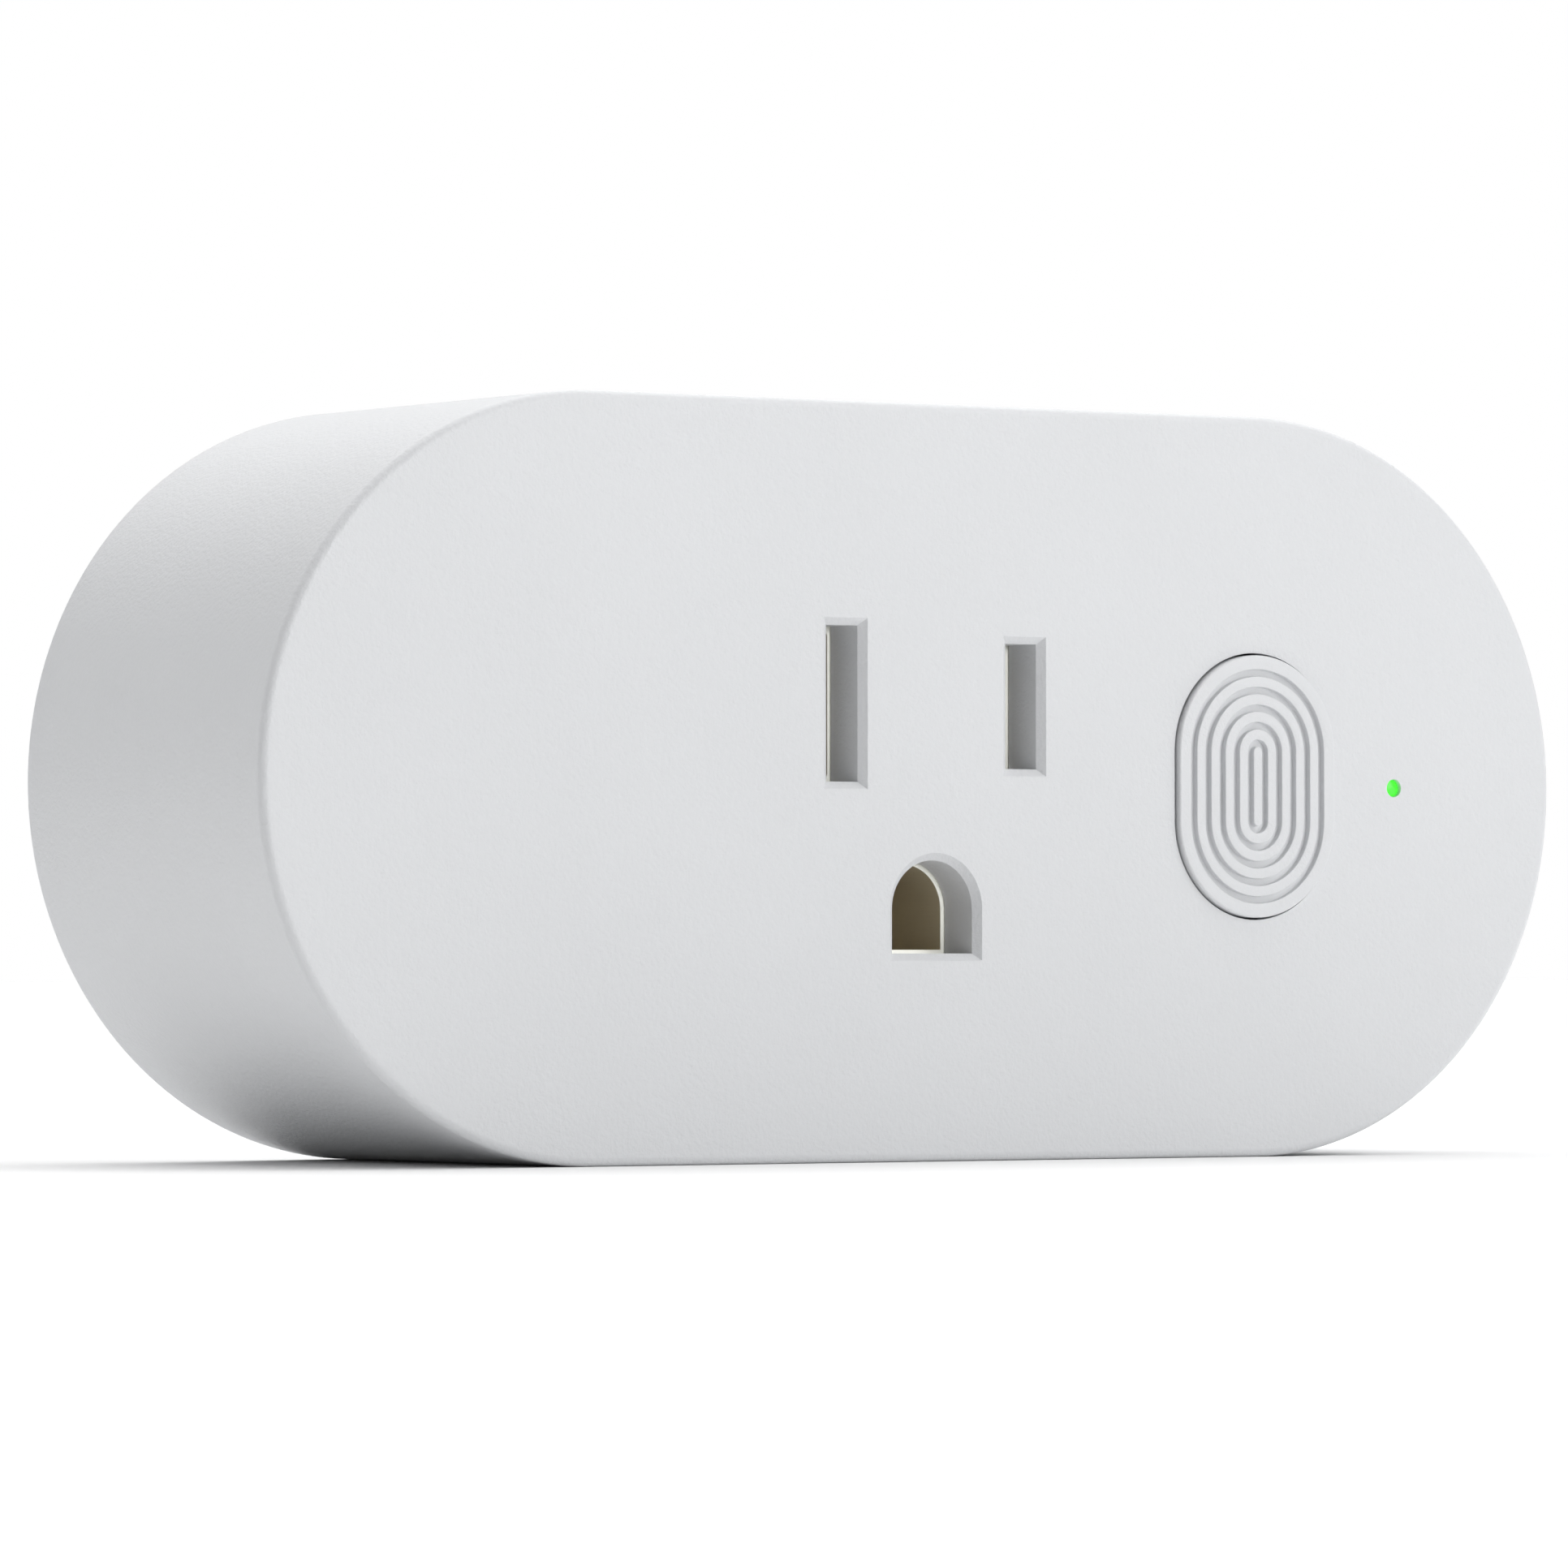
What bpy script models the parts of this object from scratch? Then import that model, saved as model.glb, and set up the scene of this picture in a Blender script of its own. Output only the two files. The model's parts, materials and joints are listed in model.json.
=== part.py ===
"""A smart plug: a pill-shaped wall plug with one grounded outlet, a button and a status light.

Metres. +X is to the right of the outlet face, -Y is the way the outlet faces, and +Z is up.
The origin is the centre of the rear face, which lies against the wall plate in use.
"""

import math

import bmesh
import bpy
from mathutils import Matrix, Vector

MM = 0.001

# Casing.
BODY_LENGTH = 91.3 * MM
BODY_HEIGHT = 44.16 * MM
BODY_DEPTH = 26.7 * MM
FRONT_FILLET = 0.53 * MM
REAR_FILLET = 0.4 * MM
SIDE_WALL = 2.2 * MM
FACE_WALL = 2.4 * MM
RIM_WALL = 1.4 * MM  # side wall around the rear cover
COVER_THICKNESS = 2.4 * MM
RIB_THICKNESS = 1.2 * MM
RIB_DEPTH = 8.3 * MM
RIB_MARGIN = 2.4 * MM  # from the outlet's block to each rib

# Clearances.
SEAT_GAP = 0.3 * MM  # between pieces that rest on each other
FIT = 0.12 * MM  # around pieces that fit into an opening
BOARD_GAP = 0.5 * MM  # between a board's edge and the casing
BITE = 0.5 * MM  # how far joined shapes run into each other
PAST = 1.0 * MM  # how far a cutter runs past a surface

# Outlet in the face, and the blades behind it.
BLADE_SPACING = 12.7 * MM
SLOT_LINE_Z = 4.52 * MM
SLOT_WIDTH = 2.21 * MM
NEUTRAL_SLOT_HEIGHT = 9.07 * MM
LINE_SLOT_HEIGHT = 7.34 * MM
GROUND_DROP = 11.9 * MM  # from the blades' line to the ground pin
GROUND_HOLE_RADIUS = 2.84 * MM
GROUND_HOLE_FLAT = 2.58 * MM  # from the arc's centre down to the flat
MOUTH_CHAMFER = 0.43 * MM
TUNNEL_DEPTH = 3.19 * MM
OUTLET_MARGIN = 2.2 * MM  # plastic around the slots
OUTLET_CORNER = 1.5 * MM
BLADE_THICKNESS = 1.5 * MM
NEUTRAL_BLADE_HEIGHT = 7.9 * MM
LINE_BLADE_HEIGHT = 6.3 * MM
BLADE_LENGTH = 17.0 * MM
BLADE_TIP = 1.6 * MM  # rounding of its tip's corners
BLADE_EDGE = 0.25 * MM
PIN_RADIUS = 2.4 * MM
PIN_LENGTH = 20.5 * MM
FLANGE_THICKNESS = 1.2 * MM
FLANGE_LIP = 1.0 * MM
PAD_THICKNESS = 1.6 * MM

# Contacts.
SLEEVE_INSET = 0.18 * MM  # how far a sleeve stands inside its slot's edge
SLEEVE_WALL = 0.45 * MM
SLEEVE_CORNER = 0.45 * MM
SLEEVE_LENGTH = 3.0 * MM
GROUND_SLEEVE_LENGTH = 6.0 * MM
CONTACT_LENGTH = 12.0 * MM
LEAF_THICKNESS = 0.35 * MM
LEAF_HEIGHT = 4.8 * MM
LEAF_SPREAD = 0.5 * MM  # how far a leaf bows out behind its pinch
LEAF_PINCH = 0.3 * MM  # how far a leaf leans in from its sleeve
PINCH_SHARE = 0.45  # of the way from the sleeve to the bridge
BOW_DEPTH = 1.4 * MM  # of the leaves' straight ends, at the bridge
TAIL_THICKNESS = 0.6 * MM
TAIL_WIDTH = 3.0 * MM
CARRIER_GAP = 0.6 * MM
POCKET_CORNER = 0.5 * MM
CAP_THICKNESS = 1.4 * MM
STRAP_THICKNESS = 0.8 * MM
STRAP_WIDTH = 3.0 * MM
STRAP_RISE = 1.0 * MM  # of the line strap, over the neutral blade
STRAP_REACH = 2.9 * MM  # of the straps, over the power board
INSULATOR_THICKNESS = 0.4 * MM

# Button.
BUTTON_X = 23.15 * MM
BUTTON_HOLE_WIDTH = 11.81 * MM
BUTTON_HOLE_HEIGHT = 15.92 * MM
BUTTON_GAP = 0.13 * MM
BUTTON_PROUD = 0.35 * MM
BUTTON_TRAVEL = 0.3 * MM
BUTTON_FILLET = 0.14 * MM
BUTTON_LIP = 0.9 * MM  # the flange behind the face
BUTTON_FLANGE = 1.0 * MM
BUTTON_WALL = 1.4 * MM
BUTTON_FACE = 1.7 * MM
STEM_RADIUS = 1.5 * MM
STEM_LENGTH = 1.2 * MM
GROOVE_COUNT = 5
GROOVE_PITCH = 1.049 * MM
GROOVE_WIDTH = 0.43 * MM
GROOVE_DEPTH = 0.33 * MM
FIRST_GROOVE_RADIUS = 0.52 * MM
SWITCH_SIDE = 6.0 * MM
SWITCH_HEIGHT = 4.1 * MM  # from the board to the plunger's tip
SWITCH_BODY_HEIGHT = 2.9 * MM
SWITCH_PLATE = 0.3 * MM
SWITCH_CORNER = 0.4 * MM
PLUNGER_RADIUS = 1.7 * MM
PLUNGER_LENGTH = 2.2 * MM
PLUNGER_EDGE = 0.2 * MM

# Status light.
LIGHT_X = 33.63 * MM
LIGHT_HOLE_RADIUS = 0.54 * MM
LENS_GAP = 0.05 * MM
LENS_RECESS = 0.16 * MM
PIPE_RADIUS = 1.0 * MM
PIPE_FLANGE_RADIUS = 1.7 * MM
PIPE_FLANGE = 0.8 * MM
LED_SIZE = (2.0 * MM, 0.8 * MM, 1.25 * MM)
LENS_EDGE = 0.1 * MM  # softened rim of the pipe's tip and of the light

# Screws and their bosses.
BOSS_RADIUS = 2.9 * MM
BOSS_BEARING = 60  # degrees around each round end, from the long axis
SCREW_HEAD_RADIUS = 2.4 * MM
SCREW_HEAD_HEIGHT = 1.25 * MM
SCREW_SHANK_RADIUS = 1.3 * MM
SCREW_LENGTH = 9.0 * MM
SCREW_RECESS = 0.3 * MM  # the head's depth under the rear face
DRIVER_SLOT = 0.65 * MM
DRIVER_DEPTH = 0.8 * MM
POST_RADIUS = 1.4 * MM

# Boards.
POWER_BOARD_THICKNESS = 1.6 * MM
POWER_BOARD_REAR = 1.5 * MM  # free height between the power board and the cover
CONTROL_BOARD_THICKNESS = 1.2 * MM
BOARD_EDGE_X = 14.1 * MM  # the boards' straight edges, either side of the outlet
CONNECTOR_WIDTH = 4.0 * MM
CONNECTOR_HEIGHT = 5.8 * MM
CONTROL_CONNECTOR_DEPTH = 2.6 * MM
POWER_CONNECTOR_DEPTH = 3.6 * MM
RIBBON_WIDTH = 5.0 * MM
RIBBON_THICKNESS = 0.6 * MM
RIBBON_BEND = 0.7 * MM
RIBBON_RISE = 4.5 * MM  # of its middle, over the outlet's block
CONNECTOR_INSET = 1.1 * MM

# Parts on the control board.
MODULE_INSET = 6.0 * MM  # from the board's straight edge
MODULE_SIZE = (16.0 * MM, 18.0 * MM, 0.8 * MM)
SHIELD_WIDTH = 11.0 * MM
SHIELD_DEPTH = 2.2 * MM
SHIELD_WALL = 0.3 * MM
SHIELD_MARGIN = 1.0 * MM
REGULATOR_SIZE = (3.5 * MM, 1.6 * MM, 6.5 * MM)
REGULATOR_INSET = 1.3 * MM
REGULATOR_LOW_Z = -11.5 * MM
CHIP_EDGE = 0.15 * MM

# Parts on the power board. A can is its radius, its length and the rounding of its rims.
BULK_CAN = (4.0 * MM, 13.0 * MM, 0.4 * MM)
OUTPUT_CAN = (3.15 * MM, 9.0 * MM, 0.4 * MM)
CHOKE_CAN = (3.5 * MM, 9.0 * MM, 0.4 * MM)
VARISTOR_DISC = (4.0 * MM, 3.6 * MM, 0.8 * MM)
RESISTOR_BODY = (1.7 * MM, 8.0 * MM, 0.5 * MM)
RECTIFIER_SIZE = (3.9 * MM, 2.5 * MM, 4.7 * MM)
CONVERTER_SIZE = (3.9 * MM, 1.5 * MM, 4.9 * MM)
CAN_ROW = 5.6 * MM  # from the relay's side to the capacitors' line
CHOKE_ROW = 5.9 * MM  # from the capacitors' line to the choke
BULK_Z = 6.0 * MM
OUTPUT_Z = -7.0 * MM

# Relay, as heights over the power board.
RELAY_SIZE = (10.2 * MM, 15.3 * MM, 18.4 * MM)
RELAY_INSET = 3.3 * MM  # from the board's straight edge
RELAY_BASE = 1.6 * MM
RELAY_WALL = 0.6 * MM
RELAY_EDGE = 0.4 * MM
RELAY_ANGLE = 3.5  # degrees that the armature swings
YOKE_THICKNESS = 1.0 * MM
YOKE_TOP = 12.1 * MM
YOKE_WIDTH = 7.2 * MM
YOKE_MARGIN = 1.6 * MM  # from the case's inner end to the yoke's upright
CORE_DROP = 6.4 * MM  # from the yoke's upright to the core
BOBBIN_TUBE = 0.6 * MM
BOBBIN_HEIGHT = 8.0 * MM
BOBBIN_RADIUS = 3.9 * MM
BOBBIN_FLANGE = 0.7 * MM
CORE_RADIUS = 1.5 * MM
POLE_RADIUS = 2.8 * MM
POLE_HEIGHT = 0.6 * MM
HINGE_GAP = 0.15 * MM
ARMATURE_THICKNESS = 0.9 * MM
ARMATURE_LENGTH = 10.6 * MM
ARMATURE_HEEL = 0.4 * MM  # how far it reaches past the hinge
ARMATURE_INSET = 0.2 * MM  # of each side, from the yoke's
ARM_THICKNESS = 0.25 * MM
ARM_START = 0.8 * MM  # from the hinge
ARM_END = 0.3 * MM  # past the rivet
ARM_SHARE = 0.7  # of the armature's width
RIVET_RADIUS = 1.0 * MM
RIVET_EDGE = 0.2 * MM
RIVET_REACH = 0.25 * MM  # past the armature's pole side
RIVET_DROP = 14.0 * MM  # from the hinge
FIXED_THICKNESS = 0.5 * MM
FIXED_WIDTH = 3.0 * MM
FIXED_FLAG = 1.0 * MM  # height of the fixed contact's rivet over its strip
FIXED_REACH = 1.6 * MM  # of the strip, past the rivet's middle

ARC_STEPS = 6  # facets in a quarter turn of a small outline
PILL_STEPS = 16  # facets in a quarter turn of the casing
ROUND_STEPS = 24

# Places worked out from the sizes.
FRONT_Y = -BODY_DEPTH
FACE_REAR_Y = FRONT_Y + FACE_WALL
END_X = (BODY_LENGTH - BODY_HEIGHT) / 2
HOLLOW_RADIUS = BODY_HEIGHT / 2 - SIDE_WALL
COVER_FRONT_Y = -COVER_THICKNESS
LEDGE_Y = COVER_FRONT_Y - SEAT_GAP
PAD_Y = COVER_FRONT_Y - PAD_THICKNESS
NEUTRAL_X = -BLADE_SPACING / 2
LINE_X = BLADE_SPACING / 2
GROUND_Z = SLOT_LINE_Z - GROUND_DROP
OUTLET_TOP = SLOT_LINE_Z + NEUTRAL_SLOT_HEIGHT / 2 + OUTLET_MARGIN
OUTLET_BOTTOM = GROUND_Z - GROUND_HOLE_FLAT - OUTLET_MARGIN
OUTLET_WIDTH = BLADE_SPACING + SLOT_WIDTH + 3 * OUTLET_MARGIN
OUTLET_REAR_Y = FRONT_Y + TUNNEL_DEPTH
CONTACT_FRONT_Y = OUTLET_REAR_Y + FIT
CONTACT_REAR_Y = CONTACT_FRONT_Y + CONTACT_LENGTH
CARRIER_FRONT_Y = OUTLET_REAR_Y + SEAT_GAP
CARRIER_REAR_Y = CONTACT_REAR_Y + 2 * SEAT_GAP
CAP_FRONT_Y = CARRIER_REAR_Y + SEAT_GAP
CAP_REAR_Y = CAP_FRONT_Y + CAP_THICKNESS
FLANGE_REAR_Y = PAD_Y - SEAT_GAP
FLANGE_FRONT_Y = FLANGE_REAR_Y - FLANGE_THICKNESS
POWER_BOARD_REAR_Y = COVER_FRONT_Y - POWER_BOARD_REAR
POWER_BOARD_Y = POWER_BOARD_REAR_Y - POWER_BOARD_THICKNESS
STRAP_REAR_Y = min(FLANGE_FRONT_Y, POWER_BOARD_Y) - SEAT_GAP
STRAP_FRONT_Y = STRAP_REAR_Y - STRAP_THICKNESS
INSULATOR_REAR_Y = STRAP_FRONT_Y - SEAT_GAP
INSULATOR_FRONT_Y = INSULATOR_REAR_Y - INSULATOR_THICKNESS
LOAD_REAR_Y = INSULATOR_FRONT_Y - SEAT_GAP
LOAD_FRONT_Y = LOAD_REAR_Y - STRAP_THICKNESS
BUTTON_FLANGE_Y = FACE_REAR_Y + SEAT_GAP
STEM_END_Y = BUTTON_FLANGE_Y + BUTTON_FLANGE + STEM_LENGTH
PLUNGER_TIP_Y = STEM_END_Y + SEAT_GAP
CONTROL_BOARD_Y = PLUNGER_TIP_Y + SWITCH_HEIGHT + SEAT_GAP
CONTROL_BOARD_REAR_Y = CONTROL_BOARD_Y + CONTROL_BOARD_THICKNESS
BOARD_RADIUS = HOLLOW_RADIUS - BOARD_GAP
BOSS_RANGE = HOLLOW_RADIUS - BOSS_RADIUS + BITE
HEAD_SEAT_Y = -SCREW_RECESS - SCREW_HEAD_HEIGHT
RELAY_X = -(BOARD_EDGE_X + RELAY_INSET + RELAY_SIZE[0] / 2)
RELAY_LEFT = RELAY_X - RELAY_SIZE[0] / 2
HINGE_Z = RELAY_SIZE[2] / 2 - RELAY_WALL - YOKE_MARGIN
RIB_X = OUTLET_WIDTH / 2 + RIB_MARGIN
RIBBON_Z = OUTLET_TOP + RIBBON_RISE
LOAD_Z = (SLOT_LINE_Z - NEUTRAL_SLOT_HEIGHT / 2 + GROUND_Z + TAIL_WIDTH / 2) / 2
LINE_STRAP_Z = SLOT_LINE_Z + NEUTRAL_BLADE_HEIGHT / 2 + STRAP_WIDTH / 2 + STRAP_RISE
RECTIFIER_PLACE = (RELAY_LEFT - 2.9 * MM, -1.2 * MM)
CONVERTER_PLACE = (RELAY_LEFT - CAN_ROW - 5.15 * MM, -6.9 * MM)

# Each axis's turn takes a flat outline's plane to the plane across that axis.
TURNS = {
    "X": Matrix(((0, 0, 1, 0), (1, 0, 0, 0), (0, 1, 0, 0), (0, 0, 0, 1))),
    "Y": Matrix.Rotation(math.radians(90), 4, "X"),
    "Z": Matrix.Identity(4),
}
# The way that a turned shape's top faces.
FACINGS = {
    "front": Matrix.Rotation(math.radians(90), 4, "X"),
    "rear": Matrix.Rotation(math.radians(-90), 4, "X"),
    "right": Matrix.Rotation(math.radians(90), 4, "Y"),
    "up": Matrix.Identity(4),
}

PAINTS = {
    "white_plastic": ((0.83, 0.84, 0.85), 0.42, 0.0),
    "clear_plastic": ((0.25, 0.95, 0.22), 0.2, 0.0),
    "black_plastic": ((0.03, 0.03, 0.035), 0.5, 0.0),
    "grey_plastic": ((0.45, 0.46, 0.47), 0.5, 0.0),
    "cream_plastic": ((0.8, 0.76, 0.66), 0.5, 0.0),
    "board_green": ((0.03, 0.22, 0.1), 0.45, 0.0),
    "brass": ((0.72, 0.55, 0.26), 0.3, 1.0),
    "nickel": ((0.72, 0.72, 0.7), 0.25, 1.0),
    "steel": ((0.55, 0.56, 0.58), 0.3, 1.0),
    "copper": ((0.8, 0.4, 0.24), 0.35, 1.0),
    "relay_blue": ((0.05, 0.15, 0.45), 0.4, 0.0),
    "varistor_blue": ((0.06, 0.2, 0.5), 0.5, 0.0),
    "sleeve_black": ((0.02, 0.02, 0.03), 0.35, 0.0),
    "resistor_green": ((0.1, 0.35, 0.3), 0.45, 0.0),
    "ferrite": ((0.12, 0.12, 0.12), 0.6, 0.2),
    "ribbon_grey": ((0.6, 0.6, 0.62), 0.6, 0.0),
    "paper": ((0.75, 0.68, 0.5), 0.8, 0.0),
}


# Outlines, as lists of points in a plane.


def arc(centre, radius, start, end, steps):
    """Points from start to end degrees, both included."""
    turns = [math.radians(start + (end - start) * i / steps) for i in range(steps + 1)]
    return [(centre[0] + radius * math.cos(t), centre[1] + radius * math.sin(t)) for t in turns]


def circle(radius, centre=(0, 0), steps=ROUND_STEPS):
    return arc(centre, radius, 0, 360 - 360 / steps, steps - 1)


def rounded(width, height, radius, centre=(0, 0), steps=ARC_STEPS):
    """A rectangle with round corners, which is a pill where the radius is half its lesser side."""
    across, up = width / 2 - radius, height / 2 - radius
    points = []
    for sign_x, sign_z, start in ((1, 1, 0), (-1, 1, 90), (-1, -1, 180), (1, -1, 270)):
        corner = (centre[0] + sign_x * across, centre[1] + sign_z * up)
        points += arc(corner, radius, start, start + 90, steps)
    apart = [math.dist(point, points[i - 1]) > 1e-7 for i, point in enumerate(points)]
    return [point for point, keep in zip(points, apart) if keep]


def pill(inset):
    """The casing's outline, drawn in from its outer side."""
    radius = BODY_HEIGHT / 2 - inset
    return rounded(BODY_LENGTH - 2 * inset, 2 * radius, radius, steps=PILL_STEPS)


def rectangle(low, high):
    return [low, (high[0], low[1]), high, (low[0], high[1])]


def arched(radius, flat, centre=(0, 0)):
    """Round above and square below, with its flat that far under the arc's centre."""
    x, z = centre
    return arc(centre, radius, 0, 180, 2 * ARC_STEPS) + [(x - radius, z - flat), (x + radius, z - flat)]


def strip(path, thickness):
    """The outline of a sheet-metal strip bent along a path."""
    ways = [(Vector(b) - Vector(a)).normalized() for a, b in zip(path, path[1:])]
    ways = [ways[0]] + ways + [ways[-1]]
    sides = ([], [])
    for point, before, after in zip(path, ways, ways[1:]):
        way = (before + after).normalized()
        reach = thickness / 2 / way.dot(before)
        for side, sign in zip(sides, (1, -1)):
            side.append((point[0] - sign * reach * way.y, point[1] + sign * reach * way.x))
    return sides[0] + sides[1][::-1]


# Shapes. Each starts as a helper, and become_part makes it a piece of the object.


def new_collection(name):
    made = bpy.data.collections.new(name)
    bpy.context.scene.collection.children.link(made)
    return made


def add_helper(name, mesh, place):
    thing = bpy.data.objects.new(name, mesh)
    thing.matrix_world = place
    thing.hide_render = True
    thing.display_type = "WIRE"
    bpy.data.collections["cutters"].objects.link(thing)
    return thing


def slab(name, outlines, axis, low, high, centre=(0, 0)):
    """Flat outlines around centre, made thick from low to high along the axis; inner outlines are holes."""
    curve = bpy.data.curves.new(name, "CURVE")
    curve.dimensions = "2D"
    curve.fill_mode = "BOTH"
    curve.extrude = (high - low) / 2
    for outline in outlines:
        spline = curve.splines.new("POLY")
        spline.points.add(len(outline) - 1)
        for point, (across, up) in zip(spline.points, outline):
            point.co = (across, up, 0, 1)
        spline.use_cyclic_u = True
    middle = (low + high) / 2
    along = {"X": (middle, *centre), "Y": (centre[0], middle, centre[1]), "Z": (*centre, middle)}[axis]
    guide = bpy.data.objects.new(name + "_guide", curve)
    guide.matrix_world = Matrix.Translation(along) @ TURNS[axis]
    bpy.context.scene.collection.objects.link(guide)
    graph = bpy.context.evaluated_depsgraph_get()
    mesh = bpy.data.meshes.new_from_object(guide.evaluated_get(graph))
    shape = bmesh.new()
    shape.from_mesh(mesh)
    bmesh.ops.remove_doubles(shape, verts=shape.verts, dist=1e-8)
    if len(outlines) == 1:
        bmesh.ops.dissolve_limit(shape, angle_limit=0.01, verts=shape.verts, edges=shape.edges)
    shape.to_mesh(mesh)
    shape.free()
    thing = add_helper(name, mesh, guide.matrix_world)
    bpy.data.objects.remove(guide)
    bpy.data.curves.remove(curve)
    return thing


def box(name, low, high):
    """A box between two opposite corners."""
    low, high = Vector(low), Vector(high)
    shape = bmesh.new()
    bmesh.ops.create_cube(shape, size=1, matrix=Matrix.Diagonal((*(high - low), 1)))
    mesh = bpy.data.meshes.new(name)
    shape.to_mesh(mesh)
    shape.free()
    return add_helper(name, mesh, Matrix.Translation((low + high) / 2))


def turned(name, profile, facing, at, steps=ROUND_STEPS, ring=False):
    """A profile of (radius, height) points turned about its axis; it runs down the outer side."""
    edges = [(i, i + 1) for i in range(len(profile) - 1)]
    if ring:
        edges.append((len(profile) - 1, 0))
    mesh = bpy.data.meshes.new(name)
    mesh.from_pydata([(radius, 0, height) for radius, height in profile], edges, [])
    thing = add_helper(name, mesh, Matrix.Translation(at) @ FACINGS[facing])
    turn = thing.modifiers.new("turn", "SCREW")
    turn.steps = turn.render_steps = steps
    turn.use_merge_vertices = True
    turn.merge_threshold = 0.00001
    turn.use_smooth_shade = True
    return thing


def rounded_cylinder(name, radius, length, edge, facing, at):
    """A cylinder from its base at the point, with rounded rims."""
    profile = [(0, length)]
    profile += [(x, z) for z, x in arc((length - edge, radius - edge), edge, 0, 90, 2)]
    profile += [(x, z) for z, x in arc((edge, radius - edge), edge, 90, 180, 2)]
    profile.append((0, 0))
    return turned(name, profile, facing, at)


def round_end(thing, end, width, segments):
    """Rounds a slab's rim at its front or rear end, or chamfers it with one segment."""
    side = {"front": 1, "rear": -1}[end]
    shape = bmesh.new()
    shape.from_mesh(thing.data)
    reach = max(side * v.co.z for v in shape.verts)
    rim = [
        edge
        for edge in shape.edges
        if all(side * v.co.z > reach - 1e-7 for v in edge.verts)
        and edge.calc_face_angle() > math.radians(60)
    ]
    bmesh.ops.bevel(shape, geom=rim, offset=width, segments=segments, profile=0.5, affect="EDGES")
    shape.to_mesh(thing.data)
    shape.free()


def soften(thing, width, segments=1):
    bevel = thing.modifiers.new("soften", "BEVEL")
    bevel.width = width
    bevel.segments = segments
    bevel.limit_method = "ANGLE"


def combine(thing, operation, others):
    for other in others:
        step = thing.modifiers.new(operation.lower(), "BOOLEAN")
        step.operation = operation
        step.solver = "EXACT"
        step.object = other


def cut(thing, *others):
    combine(thing, "DIFFERENCE", others)


def join(thing, *others):
    combine(thing, "UNION", others)


def paint_of(name):
    made = bpy.data.materials.get(name)
    if made:
        return made
    made = bpy.data.materials.new(name)
    made.use_nodes = True
    shader = made.node_tree.nodes["Principled BSDF"]
    colour, roughness, metallic = PAINTS[name]
    shader.inputs["Base Color"].default_value = (*colour, 1)
    shader.inputs["Roughness"].default_value = roughness
    shader.inputs["Metallic"].default_value = metallic
    return made


def become_part(thing, paint, name=None):
    """Moves a shape from the cutters to the object's own pieces, in its material."""
    thing.name = name or thing.name
    thing.hide_render = False
    thing.display_type = "TEXTURED"
    bpy.data.collections["cutters"].objects.unlink(thing)
    bpy.data.collections["smart_plug"].objects.link(thing)
    thing.data.materials.clear()
    thing.data.materials.append(paint_of(paint))
    thing.data.shade_smooth()
    thing.data.set_sharp_from_angle(angle=math.radians(35))
    return thing


# Places that several pieces share.


def boss_places():
    """The screws' places, around the casing's round ends."""
    bearing = math.radians(BOSS_BEARING)
    across = END_X + BOSS_RANGE * math.cos(bearing)
    up = BOSS_RANGE * math.sin(bearing)
    return {
        "upper_left": (-across, up),
        "upper_right": (across, up),
        "lower_left": (-across, -up),
        "lower_right": (across, -up),
    }


def post(name, place, radius, low, high):
    return slab(name, [circle(radius, steps=16)], "Y", low, high, place)


def outlet_outline(margin):
    """A rounded block around the outlet's three openings."""
    top, bottom = OUTLET_TOP + margin, OUTLET_BOTTOM - margin
    centre = (0, (top + bottom) / 2)
    return rounded(OUTLET_WIDTH + 2 * margin, top - bottom, OUTLET_CORNER, centre)


def control_posts():
    edge = BOARD_EDGE_X + BOARD_GAP + POST_RADIUS
    high = BOARD_RADIUS - BOARD_GAP - POST_RADIUS
    return [(edge, -high), (END_X + BOARD_RADIUS - POST_RADIUS - BOARD_GAP, 0)]


def power_posts():
    edge = -(BOARD_EDGE_X + BOARD_GAP + POST_RADIUS)
    high = BOARD_RADIUS - BOARD_GAP - POST_RADIUS
    return [(edge, high), (edge, -high), (-(END_X + BOARD_RADIUS - POST_RADIUS - BOARD_GAP), 0)]


# Casing.


def mouth(name, outline, centre):
    """A cutter whose rim leaves a 45 degree chamfer around an opening of the face."""
    rim = MOUTH_CHAMFER + FIT
    cutter = slab(name, [outline], "Y", FRONT_Y - PAST, FRONT_Y + rim, centre)
    round_end(cutter, "rear", rim, 1)
    return cutter


def outlet_cutters():
    """Cutters for the two slots and the ground hole, with their chamfered mouths."""
    low, high = FRONT_Y - PAST, OUTLET_REAR_Y + PAST
    wide = 2 * MOUTH_CHAMFER
    cutters = []
    for name, x, height in (
        ("neutral", NEUTRAL_X, NEUTRAL_SLOT_HEIGHT),
        ("line", LINE_X, LINE_SLOT_HEIGHT),
    ):
        place = (x, SLOT_LINE_Z)
        cutters.append(slab(name + "_slot", [rounded(SLOT_WIDTH, height, 0)], "Y", low, high, place))
        cutters.append(mouth(name + "_mouth", rounded(SLOT_WIDTH + wide, height + wide, 0), place))
    place = (0, GROUND_Z)
    hole = arched(GROUND_HOLE_RADIUS, GROUND_HOLE_FLAT)
    hole_mouth = arched(GROUND_HOLE_RADIUS + MOUTH_CHAMFER, GROUND_HOLE_FLAT + MOUTH_CHAMFER)
    cutters.append(slab("ground_hole", [hole], "Y", low, high, place))
    cutters.append(mouth("ground_mouth", hole_mouth, place))
    return cutters


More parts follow.
